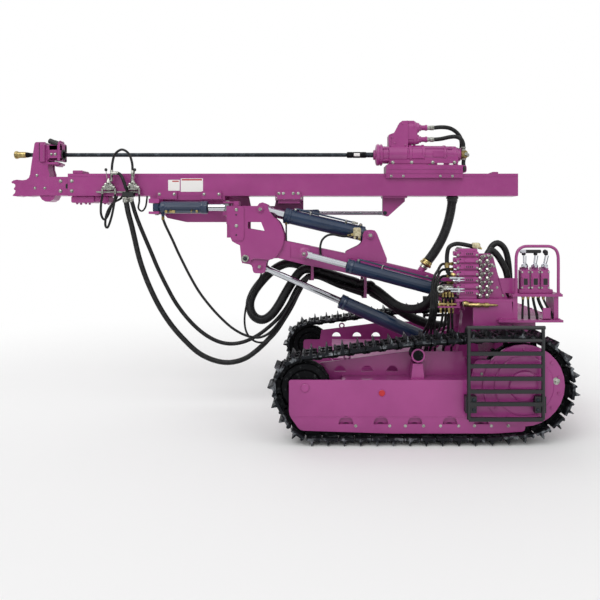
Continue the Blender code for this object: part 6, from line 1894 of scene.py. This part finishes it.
    def hoop(self) -> None:
        """Builds the guard hoop in one bent tube, and hides its plain solid."""
        y = self.y - 0.095
        path = [
            (2.228, y, 1.212), (2.228, y, 1.35), (2.228, y, 1.48), (2.232, y, 1.555), (2.252, y, 1.602),
            (2.296, y, 1.628), (2.35, y, 1.632), (2.414, y, 1.632), (2.478, y, 1.632), (2.532, y, 1.628),
            (2.576, y, 1.602), (2.596, y, 1.555), (2.600, y, 1.48), (2.600, y, 1.35), (2.600, y, 1.212)]
        shape = Shape().hose(smooth_path(path, 0.012), 0.0135, 16)
        for x in (2.228, 2.600):
            shape.turned((x, y, 1.212), (x, y, 9), [(0, 0.026), (0.006, 0.026), (0.012, 0.016)], 20)
        shape.block((2.452, y - 0.035, 0.990), (2.520, y - 0.023, 1.092), 0.008)
        shape.block((2.452, y - 0.035, 0.9905), (2.520, y + 0.060, 1.000), 0.003)
        piece = shape.finish("guard_hoop", "chassis", Coat.PAINT)
        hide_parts("guard_rail")

    def hoses(self) -> None:
        """Lays the hoses round the controls and their unions."""
        y = self.y
        on = dict(body="chassis")
        Hose(
            "hose_stack_arch",
            Route(0.019, (-1, 0, 0.1), (1, 0, -0.1), (
                (1.690, y - 0.030, 1.372), (1.658, y - 0.030, 1.382), (1.638, y - 0.030, 1.410),
                (1.632, y - 0.030, 1.48), (1.634, y - 0.030, 1.56), (1.652, y - 0.030, 1.622),
                (1.705, y - 0.030, 1.650), (1.770, y - 0.032, 1.648), (1.858, y - 0.035, 1.626))),
            **on).build()
        Hose(
            "hose_air_main",
            Route(0.030, (0.5, 0, 1), (0, 0, 1), (
                (1.985, y + 0.034, 1.480), (2.008, y + 0.050, 1.545), (2.046, y + 0.064, 1.592),
                (2.096, y + 0.070, 1.562), (2.148, y + 0.070, 1.486), (2.190, y + 0.074, 1.400),
                (2.206, y + 0.074, 1.300), (2.196, y + 0.070, 1.1655))),
            **on).build()
        Hose(
            "hose_air_arch",
            Route(0.028, (0, 0, 1), (0, 0, 1), (
                (2.095, y + 0.150, 0.991), (2.070, y + 0.150, 1.100), (2.030, y + 0.150, 1.260),
                (2.030, y + 0.150, 1.480), (2.070, y + 0.150, 1.610), (2.135, y + 0.150, 1.655),
                (2.200, y + 0.150, 1.600), (2.232, y + 0.150, 1.480), (2.245, y + 0.150, 1.300),
                (2.250, y + 0.150, 1.000))),
            **on).build()
        for k, (x0, x1, r) in enumerate((
                (2.300, 2.290, 0.010), (2.345, 2.350, 0.010), (2.390, 2.420, 0.012), (2.435, 2.500, 0.014),
                (2.480, 2.560, 0.010))):
            Hose(
                f"hose_lever_{k}",
                Route(r, (0, 0, -1), (0, 0, 1), (
                    (x0, y - 0.060, 1.178), (x0 + 0.3 * (x1 - x0), y - 0.064, 1.110),
                    (x0 + 0.8 * (x1 - x0), y - 0.072, 1.045), (x1, y - 0.075, 0.9905))),
                sides=10, **on).build()
        for k, (x0, y0, x1, y1, r) in enumerate((
                (1.600, y - 0.016, 1.480, -0.50, 0.011), (1.630, y - 0.010, 1.560, -0.46, 0.011),
                (1.660, y - 0.016, 1.640, -0.44, 0.013), (1.690, y - 0.010, 1.720, -0.42, 0.011))):
            Hose(
                f"hose_stack_{k}",
                Route(r, (0, 0, -1), (0, 0, 1), (
                    (x0, y0, 1.212), (x0 - 0.002, y0 + 0.002, 1.100), (x0 - 0.006, y0 + 0.012, 0.980),
                    (x0 - 0.3 * (x0 - x1), y0 + 0.05, 0.860), (x1, (y0 + y1) / 2, 0.740), (x1, y1, 0.690),
                    (x1, y1, 0.602))),
                sides=10, **on).build()
        for k, (z, x1, y1) in enumerate((
                (1.30, 1.50, -0.50), (1.36, 1.46, -0.47), (1.42, 1.42, -0.44), (1.47, 1.38, -0.42))):
            Hose(
                f"hose_bank_{k}",
                Route(0.012, (-1, 0, 0), (0, 0, 1), (
                    (1.690, y + 0.035, z), (1.634, y + 0.030, z), (1.590, y + 0.004, z - 0.006),
                    (1.550, y - 0.050, z - 0.050), (1.535 - 0.012 * k, y - 0.075, z - 0.15),
                    (1.530 - 0.016 * k, y - 0.070, 1.06), (1.52 - 0.02 * k, y - 0.02, 0.93),
                    (x1 + 0.04, y1 - 0.06, 0.79), (x1 + 0.01, y1, 0.69), (x1, y1, 0.602))),
                sides=10, **on).build()
        zinc = Shape()
        for x in (2.300, 2.345, 2.390, 2.435, 2.480):
            zinc.turned(
                (x, y - 0.060, 1.190), (x, y - 0.060, 0), [(0, 0.016), (0.012, 0.016), (0.014, 0.012), (0.030, 0.012)],
                6)
        zinc.turned(
            (1.706, y - 0.030, 1.370), (1.60, y - 0.030, 1.398),
            [(0, 0.024), (0.022, 0.024), (0.026, 0.021), (0.046, 0.021)], 8)
        zinc.turned(
            (1.632, y - 0.030, 1.440), (1.633, y - 0.030, 9),
            [(0, 0.021), (0.004, 0.022), (0.040, 0.022), (0.044, 0.021)], 12)
        zinc.turned(
            (1.980, y + 0.034, 1.470), (2.012, y + 0.050, 1.540),
            [(0, 0.031), (0.004, 0.034), (0.040, 0.034), (0.044, 0.031)], 16)
        zinc.finish("console_unions", "chassis", Coat.BRASS)


# ---------------------------------------------------------------------------------------------------------------------
# Chassis and step guards
# ---------------------------------------------------------------------------------------------------------------------
@dataclass
class Chassis:
    """Chassis details: turntable bolts, deck bolts and tread, tow pin, rear covers, rollers and the frames' trim."""

    track_y: float = 0.95
    roller_z: float = 0.198 - 0.022 - 0.062
    rollers: tuple[float, ...] = (0.450, 0.719, 1.008, 1.289, 1.578, 1.840)

    def build(self) -> None:
        """Builds the chassis details."""
        ring = [
            ((1.880 + 0.128 * math.cos(a), 0.128 * math.sin(a), 0.760), (0, 0, 1))
            for a in [math.tau * k / 12 for k in range(12)]]
        bolts("post_bolts", "swing_post", ring, 0.026, 0.012)
        deck = [((x, y, 0.990), (0, 0, 1)) for x in (2.085, 2.595) for y in (-0.74, -0.30, 0.0, 0.30, 0.74)]
        deck += [((0.620, y, z), (-1, 0, 0)) for y in (-0.42, -0.21, 0.0, 0.21, 0.42) for z in (0.40, 0.56)]
        bolts("chassis_bolts", "chassis", deck, 0.026, 0.010, Coat.PAINT)
        tread = Shape()
        lozenge = [(-0.016, 0.0), (-0.006, -0.004), (0.006, -0.004), (0.016, 0.0), (0.006, 0.004), (-0.006, 0.004)]
        tread.rings([[Vector((x * f, y * f, z)) for x, y in lozenge] for z, f in ((0.0, 1.0), (0.0016, 0.8))])
        places = []
        for i in range(17):
            for j in range(40):
                x, y = 2.095 + 0.030 * i, 0.02 + 0.0375 * (j - 20)
                if abs(y) > 0.755 or y < -0.50:
                    continue
                turn = Matrix.Rotation(math.radians(45 if (i + j) % 2 else -45), 3, "Z")
                places.append(((x, y, 0.990), turn))
        Repeat("deck_tread", unit_object(tread, "tread_unit"), places).build("chassis", Coat.PAINT)
        pin = Shape()
        pin.turned(
            (2.540, -0.105, 0.480), (2.540, 1, 0.480), [(0, 0.018), (0.004, 0.026), (0.206, 0.026), (0.210, 0.018)], 20)
        pin.ring((2.540, -0.098, 0.480), (1, 0, 0), 0.034, 0.004, 20, 8)
        pin.finish("tow_pin", "chassis", Coat.ZINC)
        panel = Shape()
        for y0 in (-0.36, 0.02):
            panel.block((2.500, y0, 0.640), (2.506, y0 + 0.34, 0.930), 0.004)
        panel.block((2.506, -0.02, 0.74), (2.520, 0.0, 0.86), 0.004)
        panel.finish("rear_covers", "chassis", Coat.PAINT)
        bolts(
            "rear_cover_bolts", "chassis",
            [((2.506, y, z), (1, 0, 0)) for y in (-0.34, -0.04, 0.04, 0.34) for z in (0.66, 0.91)], 0.020, 0.008)
        for side in (-1, 1):
            self.side(side)

    def side(self, side: int) -> None:
        """Adds the rollers, crease, brackets' bolts and lifting ring of one crawler.

        Args:
            side: -1 for left, 1 for right.
        """
        word = "left" if side < 0 else "right"
        mid = side * self.track_y
        dark = Shape()
        for x in self.rollers:
            dark.turned(
                (x, mid - side * 0.080, self.roller_z), (x, mid + side, self.roller_z),
                [
                    (0, 0.050), (0.004, 0.0625), (0.030, 0.0625), (0.034, 0.072), (0.044, 0.072), (0.048, 0.0625),
                    (0.112, 0.0625), (0.116, 0.072), (0.126, 0.072), (0.130, 0.0625), (0.156, 0.0625), (0.160, 0.050)],
                24)
        dark.turned((1.320, mid - side * 0.076, 0.7317), (1.320, mid + side, 0.7317),
                    [(0, 0.040), (0.004, 0.0585), (0.148, 0.0585), (0.152, 0.040)], 24)
        dark.finish(f"track_rollers_{word}", "chassis", Coat.LINK)
        paint = Shape()
        out = side * FRAME_OUT
        y0, y1 = sorted((out, out + side * 0.0025))
        paint.block((0.290, y0, 0.226), (1.900, y1, 0.233))
        inner = side * FRAME_IN
        paint.ring((0.735, inner - side * 0.004, 0.690), (0, 1, 0), 0.026, 0.008, 24, 8)
        for x in (0.674, 0.906, 1.121):
            arc = [
                (x + 0.053 * math.cos(a), inner, 0.565 + 0.053 * math.sin(a))
                for a in [math.pi * k / 10 for k in range(11)]]
            paint.hose([Vector(p) for p in arc], 0.004, 6)
        paint.finish(f"frame_trim_{word}", "chassis", Coat.PAINT)
        face = side * 1.130
        spots = [
            ((x + dx, face, z), (0, side, 0)) for x in (1.735, 2.300) for dx in (-0.022, 0.022) for z in (0.312, 0.392)]
        bolts(f"guard_bolts_{word}", "chassis", spots, 0.024, 0.010, Coat.ROD)


# ---------------------------------------------------------------------------------------------------------------------
# Studio
# ---------------------------------------------------------------------------------------------------------------------
@dataclass(frozen=True)
class Studio:
    """Floor, white surroundings, lamps and the camera at the photograph's place."""

    camera_at: Place = (0.549, -6.13, 1.775)
    lens: float = 36.9
    shift: Flat = (-0.0423, -0.1167)
    floor_half: float = 60.0

    def build(self) -> None:
        """Builds the studio."""
        self.camera()
        self.floor()
        self.world()
        self.lamps()
        bpy.context.scene.view_settings.view_transform = "Standard"

    def camera(self) -> None:
        """Sets the camera level, square to the rig's left side."""
        data = bpy.data.cameras.new("camera")
        data.lens = self.lens
        data.sensor_width = 36.0
        data.shift_x, data.shift_y = self.shift
        data.clip_end = 500.0
        camera = bpy.data.objects.new("camera", data)
        camera.location = self.camera_at
        camera.rotation_euler = (math.pi / 2, 0, 0)
        bpy.context.scene.collection.objects.link(camera)
        bpy.context.scene.camera = camera

    def floor(self) -> None:
        """Lays a pale floor that turns white far from the rig."""
        data = bpy.data.meshes.new("studio_floor")
        h = self.floor_half
        data.from_pydata([(-h, -h, 0), (h, -h, 0), (h, h, 0), (-h, h, 0)], [], [(0, 1, 2, 3)])
        floor = bpy.data.objects.new("studio_floor", data)
        bpy.context.scene.collection.objects.link(floor)
        material = bpy.data.materials.new("pale_studio_floor")
        material.use_nodes = True
        tree = material.node_tree
        tree.nodes.clear()
        coords = add(tree, "ShaderNodeTexCoord")
        away = add(tree, "ShaderNodeVectorMath", {0: coords.outputs["Object"]}, operation="LENGTH")
        far = add(tree, "ShaderNodeMapRange", {"Value": away.outputs["Value"], "From Min": 3.0, "From Max": 7.5},
                  interpolation_type="SMOOTHSTEP")
        rays = add(tree, "ShaderNodeLightPath")
        seen = add(tree, "ShaderNodeMath", {0: rays.outputs["Is Camera Ray"], 1: rays.outputs["Is Glossy Ray"]},
                   operation="MAXIMUM")
        share = add(tree, "ShaderNodeMath", {0: far.outputs["Result"], 1: seen.outputs["Value"]}, operation="MULTIPLY")
        pale = add(tree, "ShaderNodeBsdfDiffuse", {"Color": linear("#F2F2F2")})
        white = add(tree, "ShaderNodeEmission", {"Color": linear("#FFFFFF"), "Strength": 1.0})
        both = add(tree, "ShaderNodeMixShader", {0: share.outputs["Value"], 1: pale.outputs["BSDF"],
                                                 2: white.outputs["Emission"]})
        add(tree, "ShaderNodeOutputMaterial", {"Surface": both.outputs["Shader"]})
        data.materials.append(material)

    def world(self) -> None:
        """Makes soft even light, white for the camera and darker low down for what metal reflects."""
        world = bpy.data.worlds.new("studio")
        bpy.context.scene.world = world
        world.use_nodes = True
        tree = world.node_tree
        tree.nodes.clear()
        coords = add(tree, "ShaderNodeTexCoord")
        split = add(tree, "ShaderNodeSeparateXYZ", {0: coords.outputs["Generated"]})
        height = add(tree, "ShaderNodeMapRange", {"Value": split.outputs["Z"], "From Min": -1.0, "From Max": 1.0})
        sky = ramp(add(tree, "ShaderNodeValToRGB", {"Fac": height.outputs["Result"]}),
                   [(0.0, 0.30), (0.48, 0.22), (0.56, 0.32), (0.72, 0.95), (1.0, 1.0)])
        rays = add(tree, "ShaderNodeLightPath")
        soft = add(tree, "ShaderNodeBackground", {"Color": (1, 1, 1, 1), "Strength": 0.62})
        mirror = add(tree, "ShaderNodeBackground", {"Color": sky.outputs["Color"], "Strength": 1.0})
        white = add(tree, "ShaderNodeBackground", {"Color": (1, 1, 1, 1), "Strength": 1.0})
        first = add(tree, "ShaderNodeMixShader", {0: rays.outputs["Is Glossy Ray"], 1: soft.outputs["Background"],
                                                  2: mirror.outputs["Background"]})
        seen = add(tree, "ShaderNodeMath", {0: rays.outputs["Is Camera Ray"], 1: rays.outputs["Is Transmission Ray"]},
                   operation="MAXIMUM")
        second = add(tree, "ShaderNodeMixShader", {0: seen.outputs["Value"], 1: first.outputs["Shader"],
                                                   2: white.outputs["Background"]})
        add(tree, "ShaderNodeOutputWorld", {"Surface": second.outputs["Shader"]})

    def lamps(self) -> None:
        """Hangs a soft key light high on the camera's side and a weaker one behind."""
        for name, turn, power, spread in (("key", (48, 0, -28), 1.15, 40), ("fill", (62, 0, 48), 0.55, 60),
                                          ("back", (-50, 0, 20), 0.5, 60)):
            data = bpy.data.lights.new(name, "SUN")
            data.energy = power
            data.angle = math.radians(spread)
            lamp = bpy.data.objects.new(name, data)
            lamp.rotation_euler = [math.radians(a) for a in turn]
            lamp.location = (0, 0, 8)
            bpy.context.scene.collection.objects.link(lamp)


DRESS: dict[str, Coat] = {
    "purple_paint": Coat.PAINT, "cylinder_paint": Coat.NAVY, "hard_chrome": Coat.CHROME, "track_steel": Coat.LINK,
    "dark_steel": Coat.ROD, "hose_rubber": Coat.RUBBER, "black_paint": Coat.BLACK, "plated_fittings": Coat.ZINC,
}
NODE_DRESS: dict[str, Coat] = {"idler_left": Coat.LINK, "idler_right": Coat.LINK}


def dress_nodes(frame: dict) -> None:
    """Gives every solid of the frame its finish.
    """
    slots = {s["node"]: s["material_slot"] for s in frame["record"]["subparts"]}
    for name, node in frame["nodes"].items():
        finish = NODE_DRESS.get(name, DRESS[slots[name]])
        node.data.materials.clear()
        node.data.materials.append(coat(finish))
        node.data.shade_smooth()
        node.data.set_sharp_from_angle(angle=math.radians(32))


def main() -> None:
    """Builds the studio and every sub-assembly in order."""
    logging.basicConfig(level=logging.INFO, format="%(name)s %(message)s")
    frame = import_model()
    Studio().build()
    HoseSet().build()
    dress_nodes(frame)
    for side in ("left", "right"):
        Crawler(side).build()
    for cylinder in Boom.cylinders():
        cylinder.build()
    for kind in (PinEnds, Boom, Head, Feed, Centralizer, FrontValves, DrillString, Drifter, Console, Chassis):
        kind().build()


if __name__ == "__main__":
    main()
